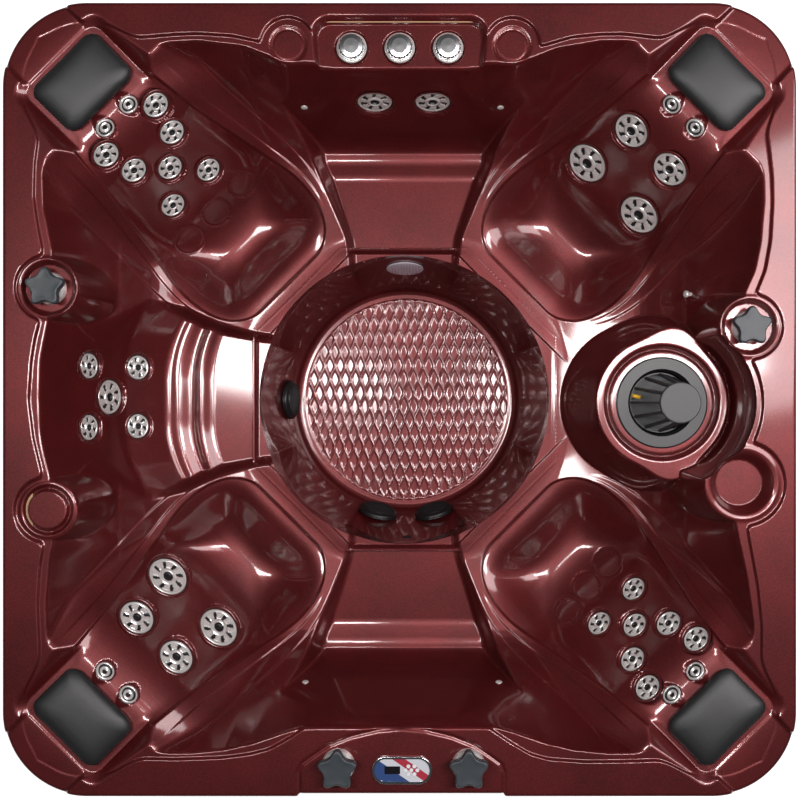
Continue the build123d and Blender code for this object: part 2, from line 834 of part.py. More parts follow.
def support_frame(grown_basin):
    """The timbers, notched for the bowls, valves and console, and the footwell's plinth."""
    deck_under = tub_height - deck_thickness
    notches = []
    for place, radius in ((west_knob, bowl_radius), (east_knob, bowl_radius), (east_cup, cup_radius)):
        notch = radius + acrylic_wall + bowl_notch
        notches.append(cylinder(*place, notch, deck_under - valve_length - bowl_notch, open_top))
    for x, y in console_knobs:
        notches.append(cylinder(x, y, valve_radius + bowl_notch, deck_under - valve_length, open_top))
    notches.append(
        Pos(panel_x, panel_y, tub_height) * panel_blank(bowl_notch, 2 * (panel_body_depth + bowl_notch))
    )
    notches.append(plate_recess(acrylic_wall + bowl_notch))
    pieces = []
    for timber in timbers():
        for notch in notches:
            timber -= notch
        timber -= grown_basin
        pieces.append(largest(timber))
    plinth_height = footwell_floor_z - acrylic_wall - base_thickness
    plinth = Pos(0, 0, base_thickness + plinth_height / 2) * Cylinder(plinth_radius, plinth_height)
    return Compound(children=pieces + [plinth.solid()])


def base_pan():
    pan = RectangleRounded(base_side, base_side, post_radius)
    return extrude(pan, base_thickness)


def pump(x, y):
    """A motor on its foot with the pump's wet end towards the middle of the tub."""
    centre_z = base_thickness + pump_foot_height + wet_end_radius
    inward = -1 if x > 0 else 1
    motor = Rot(0, 90, 0) * Cylinder(motor_radius, motor_length)
    motor = Pos(x - inward * 0.5 * motor_length, y, centre_z) * motor
    wet_end = Rot(0, 90, 0) * Cylinder(wet_end_radius, wet_end_length)
    wet_end = Pos(x + inward * 0.5 * wet_end_length, y, centre_z) * wet_end
    foot_top = centre_z - motor_radius + 10
    foot_height = foot_top - base_thickness
    foot = Pos(x - inward * 0.5 * motor_length, y, base_thickness + foot_height / 2) * Box(
        0.7 * motor_length, 1.4 * motor_radius, foot_height
    )
    return (motor + wet_end + foot).solid()


def heater():
    """A steel tube across the bay on two saddles."""
    x, y = heater_centre
    z = base_thickness + equipment_stand + heater_radius
    tube = Pos(x, y, z) * Rot(0, 90, 0) * Cylinder(heater_radius, heater_length)
    for end in (-1, 1):
        tube += Pos(x + end * 0.42 * heater_length, y, z) * Rot(0, 90, 0) * Cylinder(heater_radius + 10, 24)
        saddle_height = z - heater_radius + 5 - base_thickness
        tube += Pos(x + end * 0.3 * heater_length, y, base_thickness + saddle_height / 2) * Box(
            30, 1.6 * heater_radius, saddle_height
        )
    return tube.solid()


def control_box():
    x, y = control_box_centre
    length, depth, height = control_box_size
    box = Pos(x, y, base_thickness + height / 2) * Box(length, depth, height)
    box = fillet(box.edges().filter_by(Axis.Z), 14)
    return box.solid()


def plumbing():
    """Straight pipes from each wet end to the heater tube."""
    pump_z = base_thickness + pump_foot_height + wet_end_radius
    heater_z = base_thickness + equipment_stand + heater_radius
    pipes = []
    for x, y in pump_places:
        inward = -1 if x > 0 else 1
        start = x + inward * wet_end_length
        end = inward * -1 * (heater_length / 2)
        run = abs(end - start)
        middle = (start + end) / 2
        pipe = Pos(middle, y, heater_z) * Rot(0, 90, 0) * Cylinder(pipe_radius, run)
        pipes.append(pipe.solid())
        riser_low = pump_z + wet_end_radius
        riser_x = x + inward * 0.5 * wet_end_length
        riser = cylinder(riser_x, y, pipe_radius, riser_low, riser_low + riser_height)
        pipes.append(riser.solid())
    return Compound(children=pipes)


def curve_rise(radius, wall_radius):
    """How far a flat round flange of that radius stands off a round wall of the other."""
    return wall_radius - math.sqrt(wall_radius ** 2 - radius ** 2) + turning_gap


def suction_cover(angle):
    """A slotted domed cover over a suction port in the footwell's wall."""
    seat = curve_rise(suction_radius, footwell_floor_radius)
    points = [
        (0, seat), (suction_radius, seat), (suction_radius, 0.6 * suction_thickness),
        (0.8 * suction_radius, suction_thickness), (0, suction_thickness),
    ]
    plane = footwell_wall(angle, suction_z)
    cover = turned(points, plane)
    stub_length = seat + 1 + stub_reach
    stub = plane * Pos(0, 0, seat + 1 - stub_length / 2) * Cylinder(0.6 * suction_radius - seat_clearance, stub_length)
    return (cover + stub).solid()


def light_lens():
    plane = footwell_wall(90, lens_z)
    radius = lens_radius
    seat = curve_rise(radius, footwell_floor_radius)
    inner = radius - lens_lap - seat_clearance
    points = [
        (0, -20), (inner, -20), (inner, seat), (radius, seat), (radius, seat + 3),
        (0.7 * radius, lens_thickness), (0, lens_thickness + 1),
    ]
    return turned(points, plane)


def drain_fitting():
    plane = footwell_wall(drain_angle, drain_z)
    inner = 0.6 * drain_radius - seat_clearance
    points = [(0, -26), (inner, -26), (inner, 3), (drain_radius, 3), (drain_radius, 5), (0.6 * drain_radius, 7), (0, 6)]
    return turned(points, plane)


def filter_collar():
    """The flanged ring that the basket rises through; it sits in the mouth of the well."""
    floor = platform_z - ring_depth
    outer = well_radius - seat_clearance
    low = floor - collar_height
    points = [
        (collar_inner, low), (outer, low), (outer, floor), (collar_flange, floor),
        (collar_flange, floor + collar_flange_height - 2), (collar_flange - 4, floor + collar_flange_height),
        (collar_inner + 6, floor + collar_flange_height), (collar_inner, floor - 4),
    ]
    return turned(points, Plane(origin=(filter_x, filter_y, 0)))


def filter_basket():
    """A ribbed cone that leans outwards under a flat cap, with a tube into the collar."""
    tube = cylinder(0, 0, basket_radius, basket_neck_z, basket_shoulder_z)
    tube -= cylinder(0, 0, basket_radius - 4, basket_neck_z + 4, basket_shoulder_z + 1)
    cap = Pos(basket_lean, 0, cap_z) * extrude(Circle(cap_radius), cap_height)
    cap = fillet(cap.faces().sort_by(Axis.Z)[-1].edges(), 4)
    basket = tube + cap
    half = basket_rib / 2
    foot = basket_radius - 5
    head = cap_radius - 5
    for rib in range(basket_rib_count):
        low = Rectangle(8, basket_rib)
        low_face = Pos(0, 0, basket_shoulder_z - half) * Rot(0, 0, 360 * rib / basket_rib_count) * Pos(foot, 0) * low
        high_face = Pos(basket_lean, 0, cap_z + half) * Rot(0, 0, 360 * rib / basket_rib_count) * Pos(head, 0) * low
        basket += loft([low_face, high_face], ruled=True)
    return Pos(filter_x, filter_y, 0) * largest(basket)


def filter_cartridge():
    """A round cartridge with wide pleats, standing on the floor of the well."""
    low = well_floor_z + pillow_gap
    body = cylinder(0, 0, cartridge_radius, low, basket_neck_z)
    pleat = cylinder(0, 0, pleat_radius, low + end_cap, basket_neck_z - end_cap)
    for place in range(pleat_count):
        turn = 2 * math.pi * place / pleat_count
        body -= Pos(cartridge_radius * math.cos(turn), cartridge_radius * math.sin(turn)) * pleat
    body -= cylinder(0, 0, cartridge_core, low + end_cap, basket_neck_z - end_cap)
    return Pos(filter_x, filter_y, 0) * body.solid()


def build():
    nodes = shell_parts()
    grown_basin = basin(acrylic_wall)
    bowl_floor = tub_height - bowl_depth
    plate_floor = tub_height - plate_drop
    jet_list = jets()
    nodes["jet_bodies"] = Compound(children=[jet_body(plane, radius) for _, plane, radius in jet_list])
    nodes["cluster_jets"] = Compound(
        children=[jet_face(plane, radius) for name, plane, radius in jet_list if name is None]
    )
    for name, plane, radius in jet_list:
        if name is not None:
            nodes[name] = jet_face(plane, radius)
    nodes["neck_jets"] = Compound(children=[neck_jet(plane) for plane in neck_spots()])
    nodes["led_lights"] = Compound(children=[led(plane) for plane in led_planes()])
    nodes["light_lens"] = light_lens()
    nodes["suction_covers"] = Compound(children=[suction_cover(angle) for angle in suction_angles])
    nodes["drain_fitting"] = drain_fitting()

    knob_places = {
        "diverter_knob_west": (west_knob, bowl_floor),
        "diverter_knob_east": (east_knob, bowl_floor),
        "diverter_knob_front_left": (console_knobs[0], tub_height),
        "diverter_knob_front_right": (console_knobs[1], tub_height),
    }
    collars = []
    for name, (place, floor) in knob_places.items():
        nodes[name] = star_knob(place, floor)
        collars.append(star_collar(place, floor))
    for place, x in enumerate(air_x):
        nodes[f"air_knob_{place + 1}"] = air_knob(x, plate_floor)
        collars.append(air_collar(x, plate_floor))
    nodes["valve_collars"] = Compound(children=collars)

    nodes["control_panel_housing"] = control_panel()
    for place, spot in enumerate(key_places):
        nodes[f"panel_key_{place + 1}"] = panel_key(*spot)

    for name, angle in (("ne", 45), ("nw", 135), ("sw", 225), ("se", 315)):
        nodes[f"pillow_{name}"] = pillow(angle)

    nodes["filter_collar"] = filter_collar()
    nodes["filter_basket"] = filter_basket()
    nodes["filter_cartridge"] = filter_cartridge()

    nodes["cabinet_corner_posts"] = cabinet_posts()
    nodes["cabinet_side_panels"] = Compound(children=[cabinet_panel(angle, 0).solid() for angle in (0, 90, 180)])
    nodes["access_panel"] = cabinet_panel(270, access_gap)
    nodes["support_frame"] = support_frame(grown_basin)
    nodes["base_pan"] = base_pan()
    nodes["jet_pumps"] = Compound(children=[pump(x, y) for x, y in pump_places])
    nodes["heater_tube"] = heater()
    nodes["control_box"] = control_box()
    nodes["plumbing"] = plumbing()
    return nodes


os.makedirs("parts", exist_ok=True)
for node, shape in build().items():
    export_step(shape, f"parts/{node}.step")
    print(node, len(shape.solids()))
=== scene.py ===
"""Acrylic hot tub seen from straight above: shell, jets, knobs, pillows and filter, round the fixed frame.

Lengths are in millimetres, as on the tub's own drawing, and become metres where a mesh is made.
"""
import math

import bpy
import numpy as np
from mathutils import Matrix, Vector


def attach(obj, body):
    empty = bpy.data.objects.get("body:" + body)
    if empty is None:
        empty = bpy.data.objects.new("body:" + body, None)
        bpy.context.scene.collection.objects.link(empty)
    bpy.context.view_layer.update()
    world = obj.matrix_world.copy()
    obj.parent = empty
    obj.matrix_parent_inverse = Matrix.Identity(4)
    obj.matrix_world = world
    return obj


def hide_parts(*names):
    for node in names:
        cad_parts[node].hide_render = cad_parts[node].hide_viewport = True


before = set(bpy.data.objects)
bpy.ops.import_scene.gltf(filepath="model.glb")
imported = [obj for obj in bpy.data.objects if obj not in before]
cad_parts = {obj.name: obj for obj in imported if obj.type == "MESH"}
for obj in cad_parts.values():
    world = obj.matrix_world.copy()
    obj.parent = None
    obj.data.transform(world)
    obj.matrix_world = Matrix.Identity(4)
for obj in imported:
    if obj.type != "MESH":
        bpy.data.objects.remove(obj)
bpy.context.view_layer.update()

MM = 0.001

# The tub's main sizes
rim_z = 914.0
flange_z = 906.0
tub_half = 1067.0
rim_corner = 228.0
rim_edge = 10.0
lip_drop = 60.0
wall = 8.0

# The camera stands straight above the tub, a little to the side
camera_x = 91.0
camera_z = 3914.0
focal_px = 1119.0
image_px = 800.0
middle_px = (433.4, 399.5)
sensor_mm = 36.0


def place_camera():
    """A camera straight above, level with the photograph's frame, with the shift that its crop gives it."""
    data = bpy.data.cameras.new("camera")
    data.sensor_width = sensor_mm
    data.lens = focal_px / image_px * sensor_mm
    data.shift_x = (image_px / 2 - middle_px[0]) / image_px
    data.shift_y = (middle_px[1] - image_px / 2) / image_px
    data.clip_end = 50
    camera = bpy.data.objects.new("camera", data)
    camera.location = (camera_x * MM, 0, camera_z * MM)
    bpy.context.scene.collection.objects.link(camera)
    bpy.context.scene.camera = camera


place_camera()


def blend_low(a, b, soft):
    """The lower of two heights, rounded over a height of soft where they cross."""
    share = np.clip(0.5 + 0.5 * (b - a) / soft, 0, 1)
    return b + (a - b) * share - soft * share * (1 - share)


def blend_high(a, b, soft):
    """The higher of two heights, rounded over a height of soft where they cross."""
    return -blend_low(-a, -b, soft)


def ramp(value, start, end):
    """0 before start, 1 after end and 3t^2 - 2t^3 between."""
    t = np.clip((value - start) / (end - start), 0, 1)
    return t * t * (3 - 2 * t)


def through(value, points, soft=0.0):
    """Straight runs through the points, whose corners are averaged over a width of soft each way."""
    places, heights = zip(*points)
    if soft == 0:
        return np.interp(value, places, heights)
    steps = (-0.9, -0.6, -0.3, 0.0, 0.3, 0.6, 0.9)
    return sum(np.interp(value + soft * step, places, heights) for step in steps) / len(steps)


def from_place(x, y, place):
    """Distance in plan to a place."""
    return np.hypot(x - place[0], y - place[1])


def bead(away, radius, width):
    """A round bead or groove of height 1 at a radius: exp(-((away - radius) / width)^2)."""
    return np.exp(-((away - radius) / width) ** 2)


def distance_to_loop(x, y, points):
    """Distance in plan to a closed chain of straight runs: the least of the distances to its runs."""
    least = np.full(x.shape, 1e9)
    for place, (start_x, start_y) in enumerate(points):
        end_x, end_y = points[(place + 1) % len(points)]
        run_x, run_y = end_x - start_x, end_y - start_y
        from_x, from_y = x - start_x, y - start_y
        along = np.clip((from_x * run_x + from_y * run_y) / (run_x ** 2 + run_y ** 2), 0, 1)
        least = np.minimum(least, np.hypot(from_x - along * run_x, from_y - along * run_y))
    return least


def rounded_box(x, y, half_x, half_y, radius):
    """Signed distance to a box with round corners."""
    dx = np.abs(x) - half_x + radius
    dy = np.abs(y) - half_y + radius
    outside = np.hypot(np.maximum(dx, 0), np.maximum(dy, 0))
    return outside + np.minimum(np.maximum(dx, dy), 0) - radius


# Where the basin's mouth and the step of the flange lie on each side: along the side, distance from the middle
north_mouth = [
    (-720, 935), (-655, 958), (-540, 966), (-425, 955), (-360, 930), (-310, 908), (-221, 905), (-165, 889),
    (165, 889), (221, 905), (310, 904), (363, 922), (425, 948), (540, 966), (640, 964), (720, 938),
]
south_mouth = [
    (-720, 925), (-664, 950), (-560, 952), (-470, 945), (-390, 926), (-310, 898), (-250, 879), (-190, 872),
    (190, 872), (250, 879), (310, 898), (390, 926), (470, 945), (560, 952), (664, 950), (720, 925),
]
west_mouth = [
    (-720, 930), (-663, 948), (-548, 953), (-430, 945), (-390, 935), (-202, 940), (-103, 960), (0, 968),
    (103, 963), (218, 945), (400, 937), (450, 947), (516, 960), (610, 961), (680, 948), (720, 930),
]
east_mouth = [
    (-720, 930), (-663, 952), (-607, 953), (-480, 938), (-363, 912), (-300, 900), (285, 930), (347, 958),
    (425, 974), (530, 981), (600, 978), (680, 965), (720, 940),
]
north_step = [
    (-720, 970), (-680, 974), (-600, 981), (-540, 983), (-449, 977), (-379, 962), (-300, 950), (300, 945),
    (379, 949), (465, 974), (540, 981), (600, 982), (672, 974), (720, 968),
]
south_step = [
    (-720, 964), (-600, 966), (-480, 962), (-400, 952), (-347, 938), (-290, 905), (-250, 878), (-200, 858),
    (200, 858), (235, 878), (290, 916), (350, 952), (400, 966), (500, 973), (600, 972), (720, 968),
]
west_step = [
    (-720, 968), (-663, 967), (-548, 972), (-450, 966), (-390, 956), (-202, 960), (-100, 984), (0, 996),
    (103, 989), (160, 980), (218, 965), (398, 958), (470, 972), (540, 982), (631, 980), (720, 968),
]
east_step = [
    (-720, 972), (-607, 973), (-500, 962), (-363, 937), (-300, 930), (-100, 932), (100, 934), (285, 957),
    (347, 982), (425, 996), (530, 1002), (600, 1000), (680, 991), (720, 985),
]

# The basin's walls: octagons at the ridges between seats and at the footwell's lip
ridge_half = 728.0
ridge_diagonal = 800.0
ridge_z = 560.0
lip_half = 470.0
lip_z = 490.0
diagonal_top = 1130.0

# Seat profiles: distance from the middle, height
corner_profile = [
    (420, 508), (504, 474), (560, 447), (620, 435), (680, 435), (740, 452), (800, 500), (1030, 815),
    (1106, 866), (1130, 868), (1302, 898), (1330, 904),
]
lane_half = [
    (470, 150), (504, 168), (540, 205), (590, 232), (640, 243), (700, 245), (760, 236), (820, 221), (905, 196),
    (1000, 166), (1106, 148), (1180, 146), (1320, 146),
]
north_profile = [(440, 466), (690, 466), (716, 486), (771, 490), (889, 884), (900, 921)]
south_profile = [(440, 466), (700, 466), (725, 484), (784, 490), (872, 905), (880, 943)]
west_profile = [
    (440, 466), (590, 466), (622, 486), (652, 472), (688, 491), (722, 488), (830, 600), (955, 880), (975, 925),
]
north_half = [(440, 150), (500, 158), (720, 232), (889, 245)]
south_half = [(440, 150), (500, 165), (720, 232), (872, 250)]
west_half = [(440, 178), (600, 205), (725, 240), (955, 262)]

# The footwell
footwell_z = 90.0
floor_radius = 372.0
shoulder_z = 400.0
shoulder = 441.0
well_mouth = 458.0
round_until, octagon_from, octagon_swell = 380.0, 455.0, 1.012

# The filter's side
filter_at = (740.0, -9.0)
platform_z = 740.0
platform_radius = 188.0
platform_horns = [(775, 152, 46), (768, -178, 46)]
platform_slope = 3.1
bay_radius = 200.0
bay_slope = 9.0
ring_radius = 155.0
ring_depth = 8.0
hole_radius = 113.0

# Knob bowls, the blank disc and the cup step
west_knob = (-945.0, 300.0)
east_knob = (941.0, 196.0)
west_disc = (-946.0, -297.0)
east_cup = (922.0, -226.0)
console_knobs = [(-164.0, -980.0), (185.0, -980.0)]
nose_radius = 82.0
nose_slope = 6.0
cup_nose_radius = 104.0
bowl_radius = 66.0
bowl_depth = 25.0
bowl_slope = 3.2
cup_z, cup_radius, cup_slope = 866.0, 64.0, 2.1
bosses = [(-300.0, 953.0), (303.0, 952.0)]
boss_radius = 42.0
plate_half = 226.0
plate_drop = 25.0
plate_top = 1013.0
air_x = [-130.0, 0.0, 131.0]
air_y = 950.0


# A wall's upper run rises partly in even measure and partly with the cube of the distance
wall_shifts = (-36, -18, 0, 18, 36)
wall_even = 0.62
wall_turn = 90.0


def side_wall(distance, top):
    """The height of one side's wall: a gentle rise from the lip to the ridge, then an ever steeper one.

    With t from 0 at the ridge to 1 at the top, the upper run rises by wall_even t + (1 - wall_even) t^3 of its
    height. The mean of five such walls, shifted along the distance, rounds the turn at the ridge.
    """
    total = 0
    for shift in wall_shifts:
        away = distance + shift * (distance < ridge_half + wall_turn)
        share = (away - ridge_half) / np.maximum(top - ridge_half, 1)
        rise = wall_even * share + (1 - wall_even) * np.sign(share) * np.abs(share) ** 3
        above = ridge_z + (flange_z - ridge_z) * rise
        below = lip_z + (ridge_z - lip_z) * (away - lip_half) / (ridge_half - lip_half)
        total = total + np.where(away > ridge_half, above, below)
    return total / len(wall_shifts)


def funnel(x, y):
    """The basin without its seats: the highest of eight walls, rounded where they meet."""
    height = side_wall(y, through(x, north_mouth, 12))
    height = blend_high(height, side_wall(-y, through(x, south_mouth, 12)), 60)
    height = blend_high(height, side_wall(x, through(y, east_mouth, 12)), 60)
    height = blend_high(height, side_wall(-x, through(y, west_mouth, 12)), 60)
    diagonal = (np.abs(x) + np.abs(y)) / math.sqrt(2)
    corner = through(
        diagonal, [(lip_half, lip_z), (ridge_diagonal, ridge_z), (diagonal_top, flange_z), (1330, 1120)], 20
    )
    return blend_high(height, corner, 24)


# The creases beside a corner seat: how far out each one starts, and how much further with each millimetre
crease_spread = [(12, 0.06), (26, 0.17)]
crease_start = 560.0
crease_rise = 7.0
crease_reach, crease_edge, crease_fall = 45.0, 3.0, 55.0
lane_front = 500.0
lane_step = 8.0


def lane(x, y, around):
    """A corner seat sunk into what lies around it: a bucket and a backrest whose edge is a small rounded step.

    With d along the diagonal and a across it, the seat is p(d) + (outer - p(d)) w^2, where w runs from 0
    inside to 1 at the lane's edge. Beside it, two more creases follow the edge and fade out towards the rim.
    """
    d = (np.abs(x) + np.abs(y)) / math.sqrt(2)
    a = np.abs(np.abs(x) - np.abs(y)) / math.sqrt(2)
    half = through(d, lane_half, 25)
    edge = blend_high(a - half, lane_front - d, 50)
    floor = through(d, corner_profile, 34)
    folds = np.zeros_like(d)
    fade = crease_rise * ramp(d, crease_start, 700) * (1 - ramp(d, 1010, 1120))
    for base, slope in crease_spread:
        past = a - half - base - slope * (d - crease_start)
        fall = ramp(past, -crease_edge, crease_edge) * np.exp(-np.maximum(past, 0) / crease_fall)
        folds += fade * (ramp(past, -crease_reach, 0) - fall)
    outer = blend_high(around, floor + lane_step + 3 - 0.25 * np.maximum(edge, 0), 22) + 0.6 * folds
    reach = 45 + 185 * (1 - ramp(d, 690, 880))
    weight = ramp(edge, -reach, 8)
    inner = floor + (outer - lane_step - floor) * weight ** 2
    sunk = inner + (outer - inner) * ramp(edge, -4, 4)
    inside_lane = (edge < 260) & (d > 430)
    return np.where(inside_lane, np.minimum(sunk, np.where(edge > 4, outer, sunk)), around)


def side_seat(distance, across, profile, half, around, slope=2.75, soft=26, profile_soft=9):
    """A side seat: its profile up to its half width, then a drafted side, cut into what lies around it."""
    floor = through(distance, profile, profile_soft)
    side = 455 + (np.abs(across) - through(distance, half, 15)) * slope
    hollow = blend_high(floor, side, 30)
    return np.where(distance > 380, blend_low(around, hollow, soft), around)


def nose(x, y, place, radius, height, top=flange_z, soft=16):
    """A round pillar that carries a knob or the cup step, standing out of the wall."""
    return blend_high(height, top - np.maximum(from_place(x, y, place) - radius, -20) * nose_slope, soft)


def filter_side(x, y, height):
    """The round bay behind the filter, the platform with its two horns, and the ring sunk in its top."""
    near = (x > 380) & (np.abs(y) < 460)
    if not near.any():
        return height
    px, py, h = x[near], y[near], height[near]
    away = from_place(px, py, filter_at)
    h = blend_low(h, platform_z + np.maximum(away - bay_radius, -40) * bay_slope, 14)
    outline = away - platform_radius
    for horn_x, horn_y, horn in platform_horns:
        outline = blend_low(outline, np.hypot(px - horn_x, py - horn_y) - horn, 70)
    platform = platform_z - np.maximum(outline, -30) * platform_slope - 0.004 * np.maximum(outline, 0) ** 2
    platform = blend_low(platform, platform_z, 12)
    h = blend_high(h, np.where(px < 960, platform, -1e3), 10)
    h = np.where(away < ring_radius + 6, h - ring_depth * (1 - ramp(away, ring_radius - 3, ring_radius + 3)), h)
    h = h - 11 * bead(away, ring_radius, 6.0) * (away < platform_radius)
    result = height.copy()
    result[near] = h
    return result


flange_rounds = [(west_knob, 88), (east_knob, 88), (west_disc, 88), (east_cup, 114)]
boss_round, filter_round = 74.0, 236.0


def flange_edge(x, y):
    """Signed distance to the step where the rim drops to the flange; the flange is inside."""
    sides = np.maximum(
        np.maximum(y - through(x, north_step, 14), -y - through(x, south_step, 14)),
        np.maximum(x - through(y, east_step, 14), -x - through(y, west_step, 14)),
    )
    lobes = rounded_box(np.abs(x) - 845, np.abs(y) - 845, 172, 172, 168)
    edge = blend_low(sides, lobes, 34)
    for place, radius in flange_rounds:
        edge = blend_low(edge, from_place(x, y, place) - radius, 16)
    for place in bosses:
        edge = blend_low(edge, from_place(x, y, place) - boss_round, 12)
    return blend_low(edge, from_place(x, y, filter_at) - filter_round, 12)


console_outline = [
    (-270, -1100), (-270, -1000), (-262, -978), (-235, -958), (-190, -928), (-130, -904), (-60, -887),
    (5, -881), (70, -887), (140, -904), (200, -928), (245, -958), (272, -978), (280, -1000), (280, -1100),
]


def plate(x, y):
    """The sunk plate of the air controls as a signed distance: a box that narrows towards the basin."""
    half = plate_half - 0.09 * (plate_top - y)
    return rounded_box(x, y - (plate_top - 170), half, 170, 42)


def deck(x, y):
    """The rim, its stepped flange, the sunk plate, the rings on it and the groove round the console.

    Beads raise or lower the deck round a place. A bowl is the lower of the deck and a cone about its place.
    """
    height = rim_z - (rim_z - flange_z) * (1 - ramp(flange_edge(x, y), -4, 3))
    for place in bosses:
        away = from_place(x, y, place)
        height -= 1.6 * bead(away, boss_radius, 2.2) + 2.5 * (1 - ramp(away, 49, 53))
    away = from_place(x, y, west_disc)
    height += 3.0 * (1 - ramp(away, 51, 54)) - 9 * ramp(away, 53, 56) * (1 - ramp(away, 61, 66))
    height += 2.5 * bead(away, 71, 5)
    for place in (west_knob, east_knob):
        away = from_place(x, y, place)
        height += 2.5 * bead(away, 79, 5)
        bowl = rim_z - bowl_depth + np.maximum(away - bowl_radius, 0) * bowl_slope
        height = np.where(away < 90, np.minimum(height, bowl), height)
    away = from_place(x, y, east_cup)
    height += 2.0 * bead(away, 95, 6)
    cup = cup_z + np.maximum(away - cup_radius, 0) * cup_slope
    height = np.where(away < 100, blend_low(height, cup, 8), height)
    sunk = rim_z - plate_drop + np.maximum(plate(x, y), 0) * 1.5
    height = np.where(y > 780, blend_low(height, sunk, 8), height)
    for place in air_x:
        height -= 5 * (1 - ramp(from_place(x, y, (place, air_y)), 43, 47))
    return height - 4.5 * bead(distance_to_loop(x, y, console_outline), 0, 4.5) * (y < -820)


def pocket(x, y, height):
    """The pillow pocket of each corner: a shallow tray with a small ridge along its sides."""
    d = (np.abs(x) + np.abs(y)) / math.sqrt(2)
    a = np.abs(np.abs(x) - np.abs(y)) / math.sqrt(2)
    edge = blend_high(a - 136, d - 1306, 40)
    tray = through(d, [(1100, 862), (1130, 866), (1302, 896), (1330, 901)], 8) + np.maximum(edge, 0) * 0.9
    near = (d > 1085) & (a < 230)
    return np.where(near, blend_low(height, tray, 5), height)


# The three blank rings of two seats: the corner's angle, the place along and across it, and the radius
blank_rings = [
    (135, 803, 116, 45), (135, 806, 0, 44), (135, 810, -118, 42),
    (315, 806, -102, 43), (315, 796, -8, 44), (315, 790, 88, 44),
]


west_bow = 700.0


def shell_height(x, y):
    """The height of the moulded shell over the whole plan, from the seats up to the rim."""
    height = lane(x, y, funnel(x, y))
    bow = np.maximum(np.abs(y) - 60, 0) ** 2 / west_bow
    height = side_seat(y, x, north_profile, north_half, height, profile_soft=22)
    height = side_seat(-y, x, south_profile, south_half, height, profile_soft=26)
    height = side_seat(-x + bow, y, west_profile, west_half, height, profile_soft=11)
    for place in (west_knob, east_knob, west_disc):
        height = nose(x, y, place, nose_radius, height)
    height = nose(x, y, east_cup, cup_nose_radius, height)
    height = filter_side(x, y, height)
    height = pocket(x, y, blend_low(height, deck(x, y), 9))
    for angle, d0, a0, radius in blank_rings:
        turn = math.radians(angle)
        d = x * math.cos(turn) + y * math.sin(turn)
        a = -x * math.sin(turn) + y * math.cos(turn)
        rise = np.hypot(1, through(np.array([d0]), [(735, 0), (800, 0.9), (820, 1.37)])[0])
        height = height - 3.2 * bead(np.hypot((d - d0) * rise, a - a0), radius, 2.6)
    return blend_high(height, footwell_wall(np.hypot(x, y), x, y), 14)


def footwell_wall(radius, x, y):
    """The footwell: a round floor and wall that turn into an octagon at the lip.

    The profile is read at the radius on the floor, and at the distance to the octagon's nearest side at the lip.
    """
    sector = math.pi / 4
    off = np.mod(np.arctan2(y, x) + sector / 2, sector) - sector / 2
    flat = radius * np.cos(off) * octagon_swell
    reach = radius + (flat - radius) * ramp(radius, round_until, octagon_from)
    profile = [
        (0, footwell_z), (floor_radius - 14, footwell_z), (floor_radius, footwell_z + 8),
        (shoulder, shoulder_z), (well_mouth, lip_z - 6), (well_mouth + 12, lip_z - 1),
    ]
    return np.where(reach < well_mouth + 12, through(reach, profile, 4), -1e3)


# The grid of the shell: columns round the rim, rows from the footwell's shoulder out to the rim's edge
columns = 2000
seat_rows = 172
rim_rows = 60
lip_steps = 6
grid_start = 445.0
mouth_half, mouth_corner = 930.0, 120.0
console_drawn_in = 8.0


def rounded_square(share, half, radius):
    """Points and outward normals of a square with round corners, at shares of its length from the east."""
    straight = half - radius
    quarter = 2 * straight + math.pi / 2 * radius
    along = np.mod(share * 4, 1) * quarter
    side = np.floor(np.mod(share, 1) * 4)
    on_arc = np.clip((along - straight) / radius, 0, math.pi / 2)
    x = straight + radius * np.cos(on_arc) - np.maximum(along - straight - math.pi / 2 * radius, 0)
    y = np.minimum(along, straight) + radius * np.sin(on_arc)
    nx, ny = np.cos(on_arc), np.sin(on_arc)
    c, s = np.cos(side * math.pi / 2), np.sin(side * math.pi / 2)
    return c * x - s * y, s * x + c * y, c * nx - s * ny, s * nx + c * ny


def polar_reach(angle, half, radius):
    """How far a square with round corners reaches at each angle, from its own points."""
    share = np.arange(4000) / 4000
    x, y, _, _ = rounded_square(share, half, radius)
    turn = np.mod(np.arctan2(y, x), 2 * math.pi)
    order = np.argsort(turn)
    return np.interp(np.mod(angle, 2 * math.pi), turn[order], np.hypot(x, y)[order], period=2 * math.pi)


def shell_grid():
    """All points of the shell as an array of columns by rows, row 0 at the footwell's shoulder, and the angles.

    The rows run out along each column's angle, first to the basin's mouth, then to the rim's edge. From there
    they follow a quarter circle down, the lip's outside, its foot and its inside.
    """
    share = np.arange(columns) / columns
    edge = rounded_square(share, tub_half - rim_edge, rim_corner - rim_edge)
    ox, oy, nx, ny = (value[:, None] for value in edge)
    angle = np.arctan2(oy, ox)
    mouth = polar_reach(angle[:, 0], mouth_half, mouth_corner)[:, None]
    t = np.linspace(0, 1, seat_rows)
    seat_r = grid_start + (mouth - grid_start) * (0.30 * t + 0.70 * t ** 1.35)
    rim_r = mouth + (np.hypot(ox, oy) - mouth) * np.linspace(0, 1, rim_rows + 1)[1:]
    r = np.concatenate([seat_r, rim_r], 1)
    x, y = r * np.cos(angle), r * np.sin(angle)
    z = shell_height(x, y)
    turn = np.linspace(0, math.pi / 2, lip_steps + 1)[1:]
    back = rim_edge - wall
    out = np.array([*(rim_edge * np.sin(turn)), rim_edge, rim_edge, rim_edge - 2, back, back])
    drop = np.array([*(rim_edge * (1 - np.cos(turn))), 30, lip_drop - 2, lip_drop, lip_drop, 17])
    lip = np.stack([ox + nx * out, oy + ny * out, z[:, -1:] - drop], -1)
    return np.concatenate([np.stack([x, y, z], -1), lip], 1), angle[:, 0]


